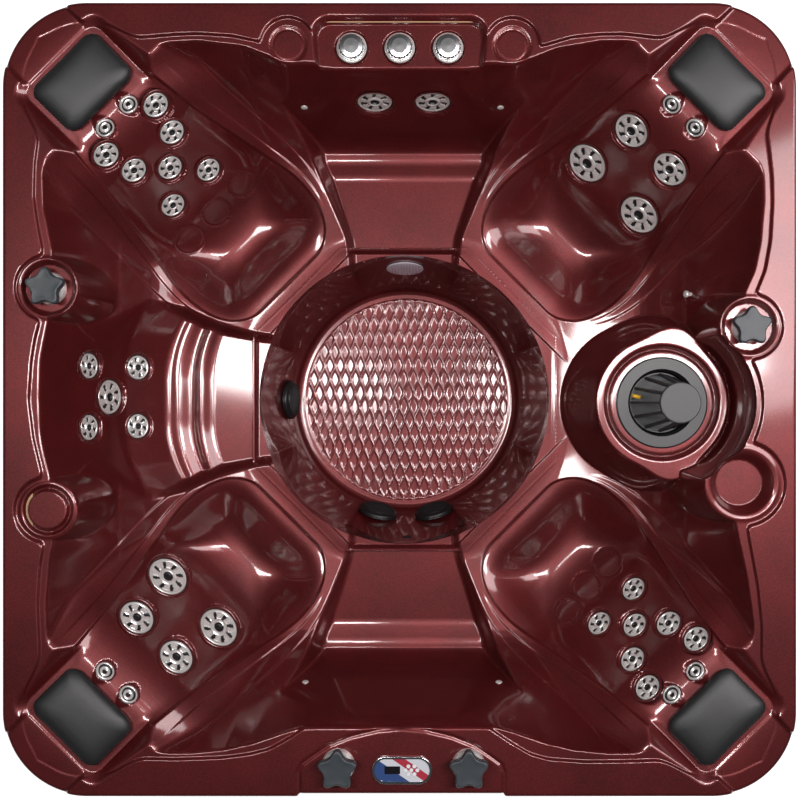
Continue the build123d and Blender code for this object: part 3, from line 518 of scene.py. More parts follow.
def console_inset(points, rim_start):
    """Draws the rim's outer edge in along the console, less and less past the console's two ends."""
    x, y = points[:, rim_start:, 0], points[:, rim_start:, 1]
    at_console = ramp(x, -274, -268) * (1 - ramp(x, 278, 284)) * ramp(-y, 1000, 1057)
    points[:, rim_start:, 1] += console_drawn_in * at_console


def grid_normals(points):
    """Unit normals of a grid that closes along its columns: the cross product of its differences both ways."""
    along = np.roll(points, -1, 0) - np.roll(points, 1, 0)
    normal = np.cross(np.gradient(points, axis=1), along)
    return normal / np.maximum(np.linalg.norm(normal, axis=-1, keepdims=True), 1e-9)


def add_mesh(name, verts, faces, normals=None, body="tub"):
    """A mesh object from points in millimetres and an array of faces with three or four corners each."""
    mesh = bpy.data.meshes.new(name)
    verts = np.asarray(verts, float).reshape(-1, 3) * MM
    faces = np.asarray(faces, np.int32)
    corners = faces.shape[1]
    mesh.vertices.add(len(verts))
    mesh.vertices.foreach_set("co", verts.astype(np.float32).ravel())
    mesh.loops.add(faces.size)
    mesh.loops.foreach_set("vertex_index", faces.ravel())
    mesh.polygons.add(len(faces))
    mesh.polygons.foreach_set("loop_start", np.arange(0, faces.size, corners, dtype=np.int32))
    mesh.update(calc_edges=True)
    mesh.polygons.foreach_set("use_smooth", np.ones(len(faces), bool))
    if normals is not None:
        mesh.normals_split_custom_set_from_vertices(np.asarray(normals, float).reshape(-1, 3))
    piece = bpy.data.objects.new(name, mesh)
    bpy.context.scene.collection.objects.link(piece)
    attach(piece, body)
    return piece


def grid_faces(cols, rows, wrap_cols=False):
    """Quads of a grid of columns by rows, numbered column by column."""
    col, row = np.meshgrid(np.arange(cols if wrap_cols else cols - 1), np.arange(rows - 1), indexing="ij")
    here = col * rows + row
    beside = ((col + 1) % cols) * rows + row
    return np.stack([here, here + 1, beside + 1, beside], -1).reshape(-1, 4)


def facing(angle, distance, across, height, lean):
    """Centre, outward normal and sideways direction of a spot on a leaning wall."""
    turn, rise = math.radians(angle), math.radians(lean)
    out = np.array([math.cos(turn), math.sin(turn), 0])
    side = np.array([-math.sin(turn), math.cos(turn), 0])
    centre = out * distance + side * across + np.array([0, 0, height])
    normal = -out * math.cos(rise) + np.array([0, 0, math.sin(rise)])
    return centre, normal, side


def lean_between(low, high):
    """How far a wall between two points of a profile leans outwards, in degrees from upright."""
    return math.degrees(math.atan2(high[0] - low[0], high[1] - low[1]))


def on_wall(low, high, angle, across, height):
    """A spot on the straight wall between two points of a profile, each given as distance and height."""
    distance = low[0] + (height - low[1]) * (high[0] - low[0]) / (high[1] - low[1])
    return facing(angle, distance, across, height, lean_between(low, high))


backrest_foot, backrest_top = (800, 500), (1030, 815)
north_foot, north_top = (771, 490), (889, 884)
west_foot, west_bend, west_top = (725, 492), (830, 600), (955, 880)


def on_corner(angle, distance, across):
    """A spot on a corner seat's backrest, at a distance along the diagonal."""
    places, heights = zip(*corner_profile)
    height = float(np.interp(distance, places, heights))
    return facing(angle, distance, across, height, lean_between(backrest_foot, backrest_top))


def on_north(across, height):
    """A spot on the north seat's backrest."""
    return on_wall(north_foot, north_top, 90, -across, height)


def on_west(across, height):
    """A spot on the west seat's backrest, which is steeper above its bend."""
    if height > west_bend[1]:
        return on_wall(west_bend, west_top, 180, across, height)
    return on_wall(west_foot, west_bend, 180, across, height)


def on_footwell_wall(angle, height):
    """A spot on the footwell's wall."""
    return on_wall((floor_radius, footwell_z), (shoulder, shoulder_z), angle, 0, height)


jet_large, jet_medium, jet_small, jet_neck = 60.0, 50.0, 36.0, 26.0
jet_spots = []
for number, spot in enumerate([(-76, 727), (89, 727)]):
    jet_spots.append((f"jet_north_{number + 1}", on_north(*spot), jet_medium))
for number, spot in enumerate([(876, 108), (876, -108), (990, 77), (990, -77)]):
    jet_spots.append((f"jet_ne_{number + 1}", on_corner(45, *spot), jet_large if number < 2 else jet_medium))
for number, spot in enumerate([(862, -122), (862, 92), (967, -94), (967, 65)]):
    jet_spots.append((f"jet_sw_{number + 1}", on_corner(225, *spot), jet_large if number < 2 else jet_medium))
jet_spots.append(("jet_west_centre", on_west(-7, 645), jet_medium))
for spot in [(1048, 97), (1048, -97), (987, 76), (987, -76), (940, 0), (881, 74), (881, -74)]:
    jet_spots.append((None, on_corner(135, *spot), jet_small))
for spot in [(1041, 110), (1041, -80), (979, 87), (979, -57), (932, 15), (875, 87), (875, -57)]:
    jet_spots.append((None, on_corner(315, *spot), jet_small))
for spot in [(-96, 725), (80, 725), (-96, 560), (80, 560)]:
    jet_spots.append((None, on_west(*spot), jet_small))
neck_spots = [on_corner(angle, 1094, across) for angle in (45, 135, 225, 315) for across in (45, -45)]


def sink_round(points, spot, radius, depth):
    """Pushes the shell's points behind a round fitting, along the fitting's own axis, to a level of -depth."""
    centre, normal, _ = spot
    offset = points - centre
    near = (np.abs(offset).max(-1) < radius + 60)
    part = offset[near]
    along = part @ normal
    away = np.linalg.norm(part - along[:, None] * normal, axis=-1)
    share = (1 - ramp(away, radius - 1, radius + 4)) * (np.abs(along) < 50)
    points[near] -= (share * (depth + along))[:, None] * normal


def sector_columns(angle, centre, spread):
    """The columns whose angle lies within the spread of a centre, in order round the tub."""
    off = np.mod(np.degrees(angle) - centre + 180, 360) - 180
    inside = np.where(np.abs(off) <= spread + 1e-6)[0]
    order = inside[np.argsort(off[inside])]
    return np.append(order, (order[-1] + 1) % columns)


# The shell's pieces between footwell and rim: name, middle angle and half spread
shell_sectors = [
    ("filter_side", 0, 18), ("corner_ne", 45, 27), ("seat_north", 90, 18), ("corner_nw", 135, 27),
    ("seat_west", 180, 18), ("corner_sw", 225, 27), ("seat_south", 270, 18), ("corner_se", 315, 27),
]


def build_shell(acrylic):
    """The shell's visible surface less the footwell: a piece for each sector and two for the rim."""
    points, angle = shell_grid()
    console_inset(points, seat_rows)
    for _, spot, radius in jet_spots:
        sink_round(points, spot, radius + 5, 18)
    for spot in neck_spots:
        sink_round(points, spot, jet_neck - 2, 10)
    normals = grid_normals(points)
    for name, centre, spread in shell_sectors:
        cols = sector_columns(angle, centre, spread)
        block = points[cols, :seat_rows]
        block_normals = normals[cols, :seat_rows]
        faces = grid_faces(len(cols), seat_rows)
        if name == "filter_side":
            away = from_place(block[..., 0], block[..., 1], filter_at).ravel()
            faces = faces[(away[faces] > hole_radius).any(1)]
        piece = add_mesh("shell_surface_" + name, block, faces, block_normals)
        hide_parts("shell_" + name)
        piece.data.materials.append(acrylic)
    halves = [("rim_surface_north", 0, columns // 2), ("rim_surface_south", columns // 2, columns)]
    for name, first, last in halves:
        cols = np.arange(first, last + 1) % columns
        block = points[cols, seat_rows - 1:]
        piece = add_mesh(name, block, grid_faces(len(cols), block.shape[1]), normals[cols, seat_rows - 1:])
        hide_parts("shell_rim")
        piece.data.materials.append(acrylic)
    return points


net_period_x, net_period_y, net_bend, net_rise, net_rib = 34.0, 92.0, 7.5, 2.6, 3.6


def net_height(x, y):
    """The footwell floor's moulded net: tall ogee cells whose ribs are pairs of waves that part and meet."""
    bend = net_bend * np.sin(2 * math.pi * y / net_period_y)
    wobble = 3.0 * np.sin(x / 61.0 + 1.3) * np.sin(y / 83.0 + 0.4)
    first = np.abs(np.mod(x + wobble - bend, net_period_x) - net_period_x / 2)
    second = np.abs(np.mod(x + wobble + bend + net_period_x / 2, net_period_x) - net_period_x / 2)
    return net_rise * bead(np.minimum(first, second), 0, net_rib)


footwell_every = 4
net_edge = 340.0


def build_footwell(acrylic, shell_points):
    """The footwell's wall and floor, with the moulded net inside a round border."""
    rim = shell_points[::footwell_every, 0]
    cols = len(rim)
    angle = np.arctan2(rim[:, 1], rim[:, 0])
    rows = np.concatenate([
        np.linspace(0.6, net_edge, 122), np.linspace(344, 381, 16)[:-1], np.linspace(381, 444, 34),
    ])
    r = np.minimum(rows[None, :], 445) * np.ones((cols, 1))
    x = r * np.cos(angle)[:, None]
    y = r * np.sin(angle)[:, None]
    z = footwell_wall(r, x, y)
    inside = 1 - ramp(r, 336, 342)
    z = z + inside * net_height(x, y) - 3 * (1 - ramp(r, 338, 346))
    points = np.concatenate([np.stack([x, y, z], -1), rim[:, None, :]], 1)
    faces = grid_faces(cols, points.shape[1], wrap_cols=True)
    piece = add_mesh("footwell_surface", points, faces, grid_normals(points))
    piece.data.materials.append(acrylic)
    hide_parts("shell_footwell")


def new_material(name):
    """A new material with its nodes, its links and its Principled shader."""
    material = bpy.data.materials.new(name)
    material.use_nodes = True
    tree = material.node_tree
    return material, tree.nodes, tree.links, tree.nodes["Principled BSDF"]


def two_colours(nodes, *stops):
    """A colour ramp between two stops, each given as position and colour."""
    colours = nodes.new("ShaderNodeValToRGB")
    for element, (position, colour) in zip(colours.color_ramp.elements, stops):
        element.position = position
        element.color = (*colour, 1)
    return colours


def acrylic_material():
    """Burgundy acrylic with pearl fleck under a deep clear coat."""
    material, nodes, links, shader = new_material("pearl_acrylic")
    place = nodes.new("ShaderNodeTexCoord")
    fleck = nodes.new("ShaderNodeTexNoise")
    fleck.inputs["Scale"].default_value = 480
    fleck.inputs["Detail"].default_value = 2
    cloud = nodes.new("ShaderNodeTexNoise")
    cloud.inputs["Scale"].default_value = 7
    cloud.inputs["Detail"].default_value = 3
    colours = two_colours(nodes, (0.34, (0.048, 0.0035, 0.0045)), (0.68, (0.165, 0.014, 0.015)))
    mix = nodes.new("ShaderNodeMix")
    mix.data_type = "FLOAT"
    mix.inputs[0].default_value = 0.25
    links.new(place.outputs["Object"], fleck.inputs["Vector"])
    links.new(place.outputs["Object"], cloud.inputs["Vector"])
    links.new(fleck.outputs["Fac"], mix.inputs[2])
    links.new(cloud.outputs["Fac"], mix.inputs[3])
    links.new(mix.outputs[0], colours.inputs["Fac"])
    links.new(colours.outputs["Color"], shader.inputs["Base Color"])
    shader.inputs["Metallic"].default_value = 0.55
    shader.inputs["Roughness"].default_value = 0.40
    shader.inputs["Coat Weight"].default_value = 1.0
    shader.inputs["Coat Roughness"].default_value = 0.09
    return material


def make_grain_group():
    """Fine grain in object coordinates: a roughness between two limits, and the height behind it."""
    group = bpy.data.node_groups.new("fine_grain", "ShaderNodeTree")
    for name in ("Scale", "Smooth", "Rough"):
        group.interface.new_socket(name=name, in_out="INPUT", socket_type="NodeSocketFloat")
    for name in ("Roughness", "Height"):
        group.interface.new_socket(name=name, in_out="OUTPUT", socket_type="NodeSocketFloat")
    nodes, links = group.nodes, group.links
    given = nodes.new("NodeGroupInput")
    result = nodes.new("NodeGroupOutput")
    place = nodes.new("ShaderNodeTexCoord")
    noise = nodes.new("ShaderNodeTexNoise")
    spread = nodes.new("ShaderNodeMapRange")
    links.new(place.outputs["Object"], noise.inputs["Vector"])
    links.new(given.outputs["Scale"], noise.inputs["Scale"])
    links.new(noise.outputs["Fac"], spread.inputs["Value"])
    links.new(given.outputs["Smooth"], spread.inputs["To Min"])
    links.new(given.outputs["Rough"], spread.inputs["To Max"])
    links.new(spread.outputs["Result"], result.inputs["Roughness"])
    links.new(noise.outputs["Fac"], result.inputs["Height"])
    return group


grain_group = make_grain_group()


def plain_material(name, colour, roughness, metallic=0.0, coat=0.0, grain=0.0, grain_scale=400.0):
    """One colour with a fine grain in its roughness and, where asked, in its surface."""
    material, nodes, links, shader = new_material(name)
    shader.inputs["Base Color"].default_value = (*colour, 1)
    shader.inputs["Metallic"].default_value = metallic
    shader.inputs["Coat Weight"].default_value = coat
    fine = nodes.new("ShaderNodeGroup")
    fine.node_tree = grain_group
    fine.inputs["Scale"].default_value = grain_scale
    fine.inputs["Smooth"].default_value = max(roughness - 0.06, 0.02)
    fine.inputs["Rough"].default_value = roughness + 0.06
    links.new(fine.outputs["Roughness"], shader.inputs["Roughness"])
    if grain:
        bump = nodes.new("ShaderNodeBump")
        bump.inputs["Strength"].default_value = grain
        bump.inputs["Distance"].default_value = 0.0006
        links.new(fine.outputs["Height"], bump.inputs["Height"])
        links.new(bump.outputs["Normal"], shader.inputs["Normal"])
    return material


def banded_material(name, colour, roughness, direction, pitch, depth):
    """One colour with rounded ribs square to a direction, a pitch in metres apart."""
    material, nodes, links, shader = new_material(name)
    shader.inputs["Base Color"].default_value = (*colour, 1)
    shader.inputs["Roughness"].default_value = roughness
    place = nodes.new("ShaderNodeTexCoord")
    along = nodes.new("ShaderNodeVectorMath")
    along.operation = "DOT_PRODUCT"
    along.inputs[1].default_value = direction
    links.new(place.outputs["Object"], along.inputs[0])
    phase = nodes.new("ShaderNodeMath")
    phase.operation = "MULTIPLY"
    phase.inputs[1].default_value = 2 * math.pi / pitch
    links.new(along.outputs["Value"], phase.inputs[0])
    wave = nodes.new("ShaderNodeMath")
    wave.operation = "SINE"
    links.new(phase.outputs["Value"], wave.inputs[0])
    bump = nodes.new("ShaderNodeBump")
    bump.inputs["Strength"].default_value = 1.0
    bump.inputs["Distance"].default_value = depth
    links.new(wave.outputs["Value"], bump.inputs["Height"])
    links.new(bump.outputs["Normal"], shader.inputs["Normal"])
    return material


def lathe(profile, count, spot, swirl=None):
    """Points and faces of a surface of revolution about a spot's normal.

    A point at turn t on a profile (r, h) lies at centre + r (cos t side + sin t up) + (h + swirl(r, t)) normal.
    """
    centre, normal, side = spot
    up = np.cross(normal, side)
    turn = np.arange(count) / count * 2 * math.pi
    profile = np.asarray(profile, float)
    r = profile[None, :, 0]
    h = profile[None, :, 1] + (swirl(r, turn[:, None]) if swirl else 0)
    flat = r[..., None] * (np.cos(turn)[:, None, None] * side + np.sin(turn)[:, None, None] * up)
    points = centre + flat + h[..., None] * normal
    return points.reshape(-1, 3), grid_faces(count, len(profile), wrap_cols=True)[:, ::-1]


def joined(parts):
    """Several meshes of points and quads as one."""
    verts, faces, start = [], [], 0
    for points, quads in parts:
        verts.append(points)
        faces.append(quads + start)
        start += len(points)
    return np.concatenate(verts), np.concatenate(faces)


# A jet's face from its middle out: share of the radius, height
jet_dish = [
    (0, -11), (0.2, -11), (0.26, -3.4), (0.34, -2.6), (0.43, -3.6), (0.47, -8.2), (0.8, -7.6), (0.84, -4.6),
    (0.92, -3.8), (0.98, -4.6), (1.0, -8.0),
]
jet_swirl = 2.6
jet_lip = [(11, -0.6), (9, 0.5), (7, 0.9), (5, 0.2), (3, -1.3), (1.6, -4), (1.2, -12)]
neck_ring = [
    (26, -2), (25.5, 2.2), (23, 3.4), (20, 2.4), (18.5, -0.5), (15, -0.8), (13.5, 1.6), (11, 2.2), (9, 1.0),
    (7, -3), (0.3, -3),
]
neck_dark_rows = (3, 4, 9)


def add_jet(name, spots, body, node, chrome, black):
    """Jet faces: a chrome rim, a ring of swirling slots, an inner ring and a dark nozzle.

    The blades rise with the wave cos(slots t + jet_swirl r / radius), steepened and cut off at both ends. The
    faces where the wave is lowest are painted black as shade in the slots; the nozzle is black plastic.
    """
    parts, nozzle_and_slot_shade = [], []
    for spot, radius, slots in spots:
        share = np.linspace(1, 0.012, 34)
        ring = ramp(share, 0.46, 0.50) * (1 - ramp(share, 0.79, 0.82))

        def blades(r, turn, ring=ring, radius=radius, slots=slots):
            wave = np.cos(slots * turn + jet_swirl * r / radius)
            return ring[None, :] * (1.5 * np.clip(1 + wave * 1.8, -1, 1) + 1.8)

        count = 88 if radius > 40 else 56
        parts.append(lathe(np.stack([share * radius, through(share, jet_dish)], -1), count, spot, blades))
        cell = np.arange(count)[:, None] / count * 2 * math.pi
        middle = (share[:-1] + share[1:]) / 2
        # The lowest part of each blade wave gets the black material: painted shade in the slots. The nozzle's
        # black is its own colour.
        slot_shade = np.cos(slots * cell + jet_swirl * middle[None, :]) < -0.5
        nozzle_and_slot_shade.append(((slot_shade & (middle > 0.475) & (middle < 0.81)) | (middle < 0.25)).ravel())
    verts, faces = joined(parts)
    piece = add_mesh(name, verts, faces, body=body)
    piece.data.materials.append(chrome)
    piece.data.materials.append(black)
    piece.data.polygons.foreach_set("material_index", np.concatenate(nozzle_and_slot_shade).astype(np.int32))
    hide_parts(node)


def add_jet_lips(acrylic):
    """The rounded acrylic lip of each jet's pocket, which turns down over the jet body's edge."""
    parts = [lathe([(radius + out, rise) for out, rise in jet_lip], 64, spot) for _, spot, radius in jet_spots]
    verts, faces = joined(parts)
    piece = add_mesh("jet_pocket_lips", verts, faces)
    piece.data.materials.append(acrylic)


def add_jets(chrome, black, acrylic):
    """All jets: the turning ones one by one, the small ones and the neck jets as groups."""
    small = []
    for name, spot, radius in jet_spots:
        if name:
            add_jet(name + "_face", [(spot, radius, 8 if radius > 55 else 7)], name, name, chrome, black)
        else:
            small.append((spot, radius, 6))
    add_jet("small_jet_faces", small, "tub", "cluster_jets", chrome, black)
    verts, faces = joined([lathe(neck_ring, 48, spot) for spot in neck_spots])
    piece = add_mesh("neck_jet_rings", verts, faces)
    piece.data.materials.append(chrome)
    piece.data.materials.append(black)
    rows = len(neck_ring) - 1
    row = np.tile(np.arange(rows), len(faces) // rows)
    piece.data.polygons.foreach_set("material_index", np.isin(row, neck_dark_rows).astype(np.int32))
    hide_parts("neck_jets")
    add_jet_lips(acrylic)


suction_places = [(180, 190), (256, 190), (284, 190)]
suction_dome = [
    (65, 6.2), (65, 16), (63.5, 18.5), (60, 20.5), (56, 23), (52, 25.6), (46, 26.2), (40, 26.4), (34, 26.6),
    (28, 26.8), (22, 27), (16, 27), (10, 27), (5, 27), (0.5, 27),
]
suction_rib, suction_pitch = 2.2, 13.0
lens_place = (90, 330)
lens_dome = [
    (59, 6), (59, 8.6), (57.5, 9.3), (53, 10), (47, 10.8), (41, 11.3), (34, 11.8), (26, 12), (18, 12), (9, 12),
    (0.5, 12),
]
lens_rib, lens_pitch = 0.7, 9.5


def denser(profile, rows):
    """The same profile with more points: so many, spread evenly over the numbers of its own points."""
    number = np.arange(len(profile))
    fine = np.linspace(0, len(profile) - 1, rows)
    return np.stack([np.interp(fine, number, value) for value in np.array(profile, float).T], -1)


def add_suction_covers(plastic):
    """Domed suction covers with level ribs: the height of the dome plus suction_rib times a wave in r sin t."""
    def ribs(r, turn):
        return suction_rib * np.cos(2 * math.pi * r * np.sin(turn) / suction_pitch) * (1 - ramp(r, 50, 56))

    dome = denser(suction_dome, 60)
    verts, faces = joined([lathe(dome, 128, on_footwell_wall(*place), ribs) for place in suction_places])
    piece = add_mesh("suction_cover_domes", verts, faces)
    piece.data.materials.append(plastic)
    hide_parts("suction_covers")


def add_light_lens(plastic):
    """The light's lens: a low dome with upright flutes, lens_rib times a wave in r cos t, inside a plain edge."""
    def flutes(r, turn):
        return lens_rib * np.cos(2 * math.pi * r * np.cos(turn) / lens_pitch) * (1 - ramp(r, 46, 52))

    points, faces = lathe(denser(lens_dome, 40), 128, on_footwell_wall(*lens_place), flutes)
    piece = add_mesh("light_lens_dome", points, faces)
    piece.data.materials.append(plastic)
    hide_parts("light_lens")


def add_filter_tab(plastic):
    """A small moulded tab on the inside of the basket's tube."""
    near, far, half, low, high = 57.0, 84.0, 5.0, 700.0, 705.0
    turn = math.radians(165)
    out = np.array([math.cos(turn), math.sin(turn), 0])
    side = np.array([-math.sin(turn), math.cos(turn), 0])
    corners = []
    for z in (low, high):
        for r, v in ((near, -half), (far, -half), (far, half), (near, half)):
            corners.append(np.array([*filter_at, z]) + out * r + side * v)
    faces = [(3, 2, 1, 0), (4, 5, 6, 7), (0, 1, 5, 4), (1, 2, 6, 5), (2, 3, 7, 6), (3, 0, 4, 7)]
    piece = add_mesh("filter_release_tab", corners, faces, body="filter_assembly")
    piece.data.materials.append(plastic)


pillow_start, pillow_low_z = 1130.0, 868.0
pillow_tilt = math.atan2(898 - pillow_low_z, 1302 - pillow_start)
pillow_length, pillow_depth, pillow_thick, pillow_gap = 244.0, 166.0, 46.0, 0.3


def add_pillow(name, angle, skin):
    """A neck pillow: a rounded block with a full crown, drawn in under its edge, closed below.

    A point at share s of the outline and row (k, h) lies at k times the outline and height h over the seat; the
    outline's long outer edge is bowed in by a few millimetres, and the crown sags towards its ends.
    """
    count = 220
    share = np.arange(count) / count
    ox, oy, _, _ = rounded_square(share, 1.0, 0.34)
    half_d, half_l = pillow_depth / 2 - 1, pillow_length / 2 - 1
    rows = [
        (0.002, pillow_thick), (0.25, pillow_thick), (0.5, 45.4), (0.68, 43.6), (0.8, 40.6), (0.88, 37),
        (0.94, 32), (0.975, 26), (0.99, 20), (0.985, 13), (0.96, 6), (0.93, 1.5), (0.9, 0.4), (0.4, 0.35),
        (0.002, 0.35),
    ]
    scale, height = np.array(rows, float).T
    fine = np.linspace(0, len(rows) - 1, 71)
    scale = np.interp(fine, np.arange(len(rows)), scale)
    height = np.interp(fine, np.arange(len(rows)), height)
    kernel = np.array([1, 2, 3, 2, 1]) / 9.0
    scale[2:-2] = np.convolve(scale, kernel, "valid")
    height[2:-2] = np.convolve(height, kernel, "valid")
    u = half_d * ox[:, None] * scale[None, :]
    v = half_l * oy[:, None] * scale[None, :]
    top = np.clip((height - 10) / 36, 0, 1)[None, :]
    h = height[None, :] - top * (5.0 * (np.abs(v) / half_l) ** 2 + 3.0 * (u / half_d) ** 2)
    u = u - 3.0 * (u > 0) * (1 - (v / half_l) ** 2) * (u / half_d)
    turn = math.radians(angle)
    on_seat = u + pillow_depth / 2
    along = pillow_start + on_seat * math.cos(pillow_tilt) - h * math.sin(pillow_tilt)
    z = pillow_low_z + on_seat * math.sin(pillow_tilt) + (h + pillow_gap) * math.cos(pillow_tilt)
    x = along * math.cos(turn) - v * math.sin(turn)
    y = along * math.sin(turn) + v * math.cos(turn)
    points = np.stack([x, y, z], -1)
    faces = grid_faces(count, len(scale), wrap_cols=True)
    piece = add_mesh(name + "_cushion", points, faces)
    piece.data.materials.append(skin)
    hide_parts(name)


knob_waist, knob_point, knob_hub, knob_lift = 38.5, 15.5, 40.0, 27.3
knob_rows = [
    (0.004, 24.6), (0.3, 24.7), (0.55, 24.9), (0.75, 25.3), (0.84, 25.8), (0.90, 25.8), (0.94, 25.0),
    (0.975, 22.8), (0.995, 19), (1, 14), (1, 6), (0.985, 2), (0.95, 0.2), (0.6, 0.1), (0.25, 0.1),
]


def add_star_knob(name, place, floor, plastic):
    """A five-lobed knob with a dished top and rounded lobes, about its own axis.

    Its reach at turn t is the waist plus the point times ((1 + cos 5t) / 2)^1.5, and goes over to a round hub
    towards the middle.
    """
    count = 200
    turn = np.arange(count) / count * 2 * math.pi
    star = knob_waist + knob_point * ((1 + np.cos(5 * (turn - math.pi / 2))) / 2) ** 1.5
    scale, height = np.array(knob_rows, float).T
    lobes = np.clip((scale - 0.3) / 0.5, 0, 1)
    r = (knob_hub + (star[:, None] - knob_hub) * lobes) * scale
    z = np.broadcast_to(floor + knob_lift + height, r.shape)
    points = np.stack([place[0] + r * np.cos(turn)[:, None], place[1] + r * np.sin(turn)[:, None], z], -1)
    faces = grid_faces(count, len(knob_rows), wrap_cols=True)
    piece = add_mesh(name + "_handle", points, faces, body=name)
    piece.data.materials.append(plastic)
    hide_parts(name)


def set_material(node, material):
    """Gives a shown CAD node its material."""
    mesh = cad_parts[node].data
    for place in range(len(mesh.materials)):
        mesh.materials[place] = material
    if not mesh.materials:
        mesh.materials.append(material)


def maths(nodes, links, operation, first, second=0.0):
    """A maths node on two sockets or numbers."""
    node = nodes.new("ShaderNodeMath")
    node.operation = operation
    for place, value in enumerate((first, second)):
        if isinstance(value, (int, float)):
            node.inputs[place].default_value = value
        else:
            links.new(value, node.inputs[place])
    return node.outputs["Value"]


panel_at = (7.0, -993.0)
panel_half_length, panel_half_width, panel_bezel = 81.0, 37.5, 7.0
display_shift, display_half_length, display_half_width = 26.0, 21.0, 10.5
band_stops = [
    (0.0, (0.03, 0.06, 0.17)), (0.34, (0.50, 0.52, 0.56)), (0.60, (0.33, 0.03, 0.05)), (0.82, (0.50, 0.52, 0.56)),
]


def panel_material():
    """The oval panel: a chrome bezel round a face of broad plain colour bands with a black display.

    The bezel lies where the distance to the panel's middle line is over the half width less the bezel's width.
    The bands follow 6.2 x + 9 y, in metres from the panel's middle.
    """
    material, nodes, links, shader = new_material("control_panel_face")

    def worked(operation, first, second=0.0):
        return maths(nodes, links, operation, first, second)

    place = nodes.new("ShaderNodeTexCoord")
    parted = nodes.new("ShaderNodeSeparateXYZ")
    links.new(place.outputs["Object"], parted.inputs["Vector"])
    x = worked("SUBTRACT", parted.outputs["X"], panel_at[0] * MM)
    y = worked("SUBTRACT", parted.outputs["Y"], panel_at[1] * MM)
    straight = (panel_half_length - panel_half_width) * MM
    past = worked("MAXIMUM", worked("SUBTRACT", worked("ABSOLUTE", x), straight), 0.0)
    far = worked("SQRT", worked("ADD", worked("MULTIPLY", past, past), worked("MULTIPLY", y, y)))
    bezel = worked("GREATER_THAN", far, (panel_half_width - panel_bezel) * MM)
    slant = worked("ADD", worked("MULTIPLY", x, 6.2), worked("MULTIPLY", y, 9.0))
    bands = nodes.new("ShaderNodeValToRGB")
    bands.color_ramp.interpolation = "CONSTANT"
    for number, (where, colour) in enumerate(band_stops):
        stop = bands.color_ramp.elements[number] if number < 2 else bands.color_ramp.elements.new(where)
        stop.position = where
        stop.color = (*colour, 1)
    links.new(worked("ADD", slant, 0.5), bands.inputs["Fac"])
    beside = worked("ABSOLUTE", worked("ADD", x, display_shift * MM))
    in_length = worked("LESS_THAN", beside, display_half_length * MM)
    in_width = worked("LESS_THAN", worked("ABSOLUTE", y), display_half_width * MM)
    face = nodes.new("ShaderNodeMix")
    face.data_type = "RGBA"
    links.new(worked("MULTIPLY", in_length, in_width), face.inputs["Factor"])
    links.new(bands.outputs["Color"], face.inputs["A"])
    face.inputs["B"].default_value = (0.006, 0.006, 0.008, 1)
    whole = nodes.new("ShaderNodeMix")
    whole.data_type = "RGBA"
    links.new(bezel, whole.inputs["Factor"])
    links.new(face.outputs["Result"], whole.inputs["A"])
    whole.inputs["B"].default_value = (0.72, 0.73, 0.75, 1)
    links.new(whole.outputs["Result"], shader.inputs["Base Color"])
    links.new(bezel, shader.inputs["Metallic"])
    shader.inputs["Roughness"].default_value = 0.16
    shader.inputs["Coat Weight"].default_value = 0.6
    return material


def board_material():
    """Dark brown moulded boards with long streaks of grain, which run level round the cabinet."""
    material, nodes, links, shader = new_material("cabinet_boards")
    place = nodes.new("ShaderNodeTexCoord")
    stretch = nodes.new("ShaderNodeMapping")
    stretch.inputs["Scale"].default_value = (3, 3, 90)
    links.new(place.outputs["Object"], stretch.inputs["Vector"])
    grain = nodes.new("ShaderNodeTexNoise")
    grain.inputs["Scale"].default_value = 3.0
    grain.inputs["Detail"].default_value = 6
    links.new(stretch.outputs["Vector"], grain.inputs["Vector"])
    colours = two_colours(nodes, (0.35, (0.030, 0.016, 0.010)), (0.7, (0.095, 0.052, 0.032)))
    links.new(grain.outputs["Fac"], colours.inputs["Fac"])
    links.new(colours.outputs["Color"], shader.inputs["Base Color"])
    shader.inputs["Roughness"].default_value = 0.55
    bump = nodes.new("ShaderNodeBump")
    bump.inputs["Strength"].default_value = 0.5
    bump.inputs["Distance"].default_value = 0.001
    links.new(grain.outputs["Fac"], bump.inputs["Height"])
    links.new(bump.outputs["Normal"], shader.inputs["Normal"])
    return material


acrylic = acrylic_material()
chrome = plain_material("chrome", (0.74, 0.74, 0.72), 0.24, metallic=0.55, coat=0.6)
satin = plain_material("satin_silver", (0.62, 0.63, 0.64), 0.32, metallic=1.0)
black = plain_material("black_plastic", (0.006, 0.006, 0.007), 0.40)
slate = plain_material("slate_plastic", (0.030, 0.038, 0.044), 0.46, grain=0.15)
skin = plain_material("pillow_skin", (0.012, 0.013, 0.014), 0.46, grain=0.35, grain_scale=900)
grey_cap = plain_material("cap_grey", (0.045, 0.047, 0.049), 0.5, grain=0.1)
lens_plastic = plain_material("lens_plastic", (0.50, 0.44, 0.50), 0.22, coat=0.5)
yellow = plain_material("yellow_plastic", (0.75, 0.42, 0.02), 0.4)
paper = banded_material("filter_paper", (0.70, 0.70, 0.67), 0.85, (0.7, 0.7, 0.0), 0.007, 0.001)
timber = plain_material("timber", (0.42, 0.27, 0.15), 0.75, grain=0.5, grain_scale=60)
steel = plain_material("steel", (0.55, 0.55, 0.56), 0.25, metallic=1.0)
pump_paint = plain_material("pump_paint", (0.018, 0.020, 0.024), 0.40, grain=0.2)
box_plastic = plain_material("box_plastic", (0.20, 0.21, 0.22), 0.5, grain=0.2)
pipe_plastic = plain_material("pipe_plastic", (0.75, 0.75, 0.74), 0.35)
key_rubber = plain_material("key_rubber", (0.62, 0.63, 0.66), 0.5)
boards = board_material()

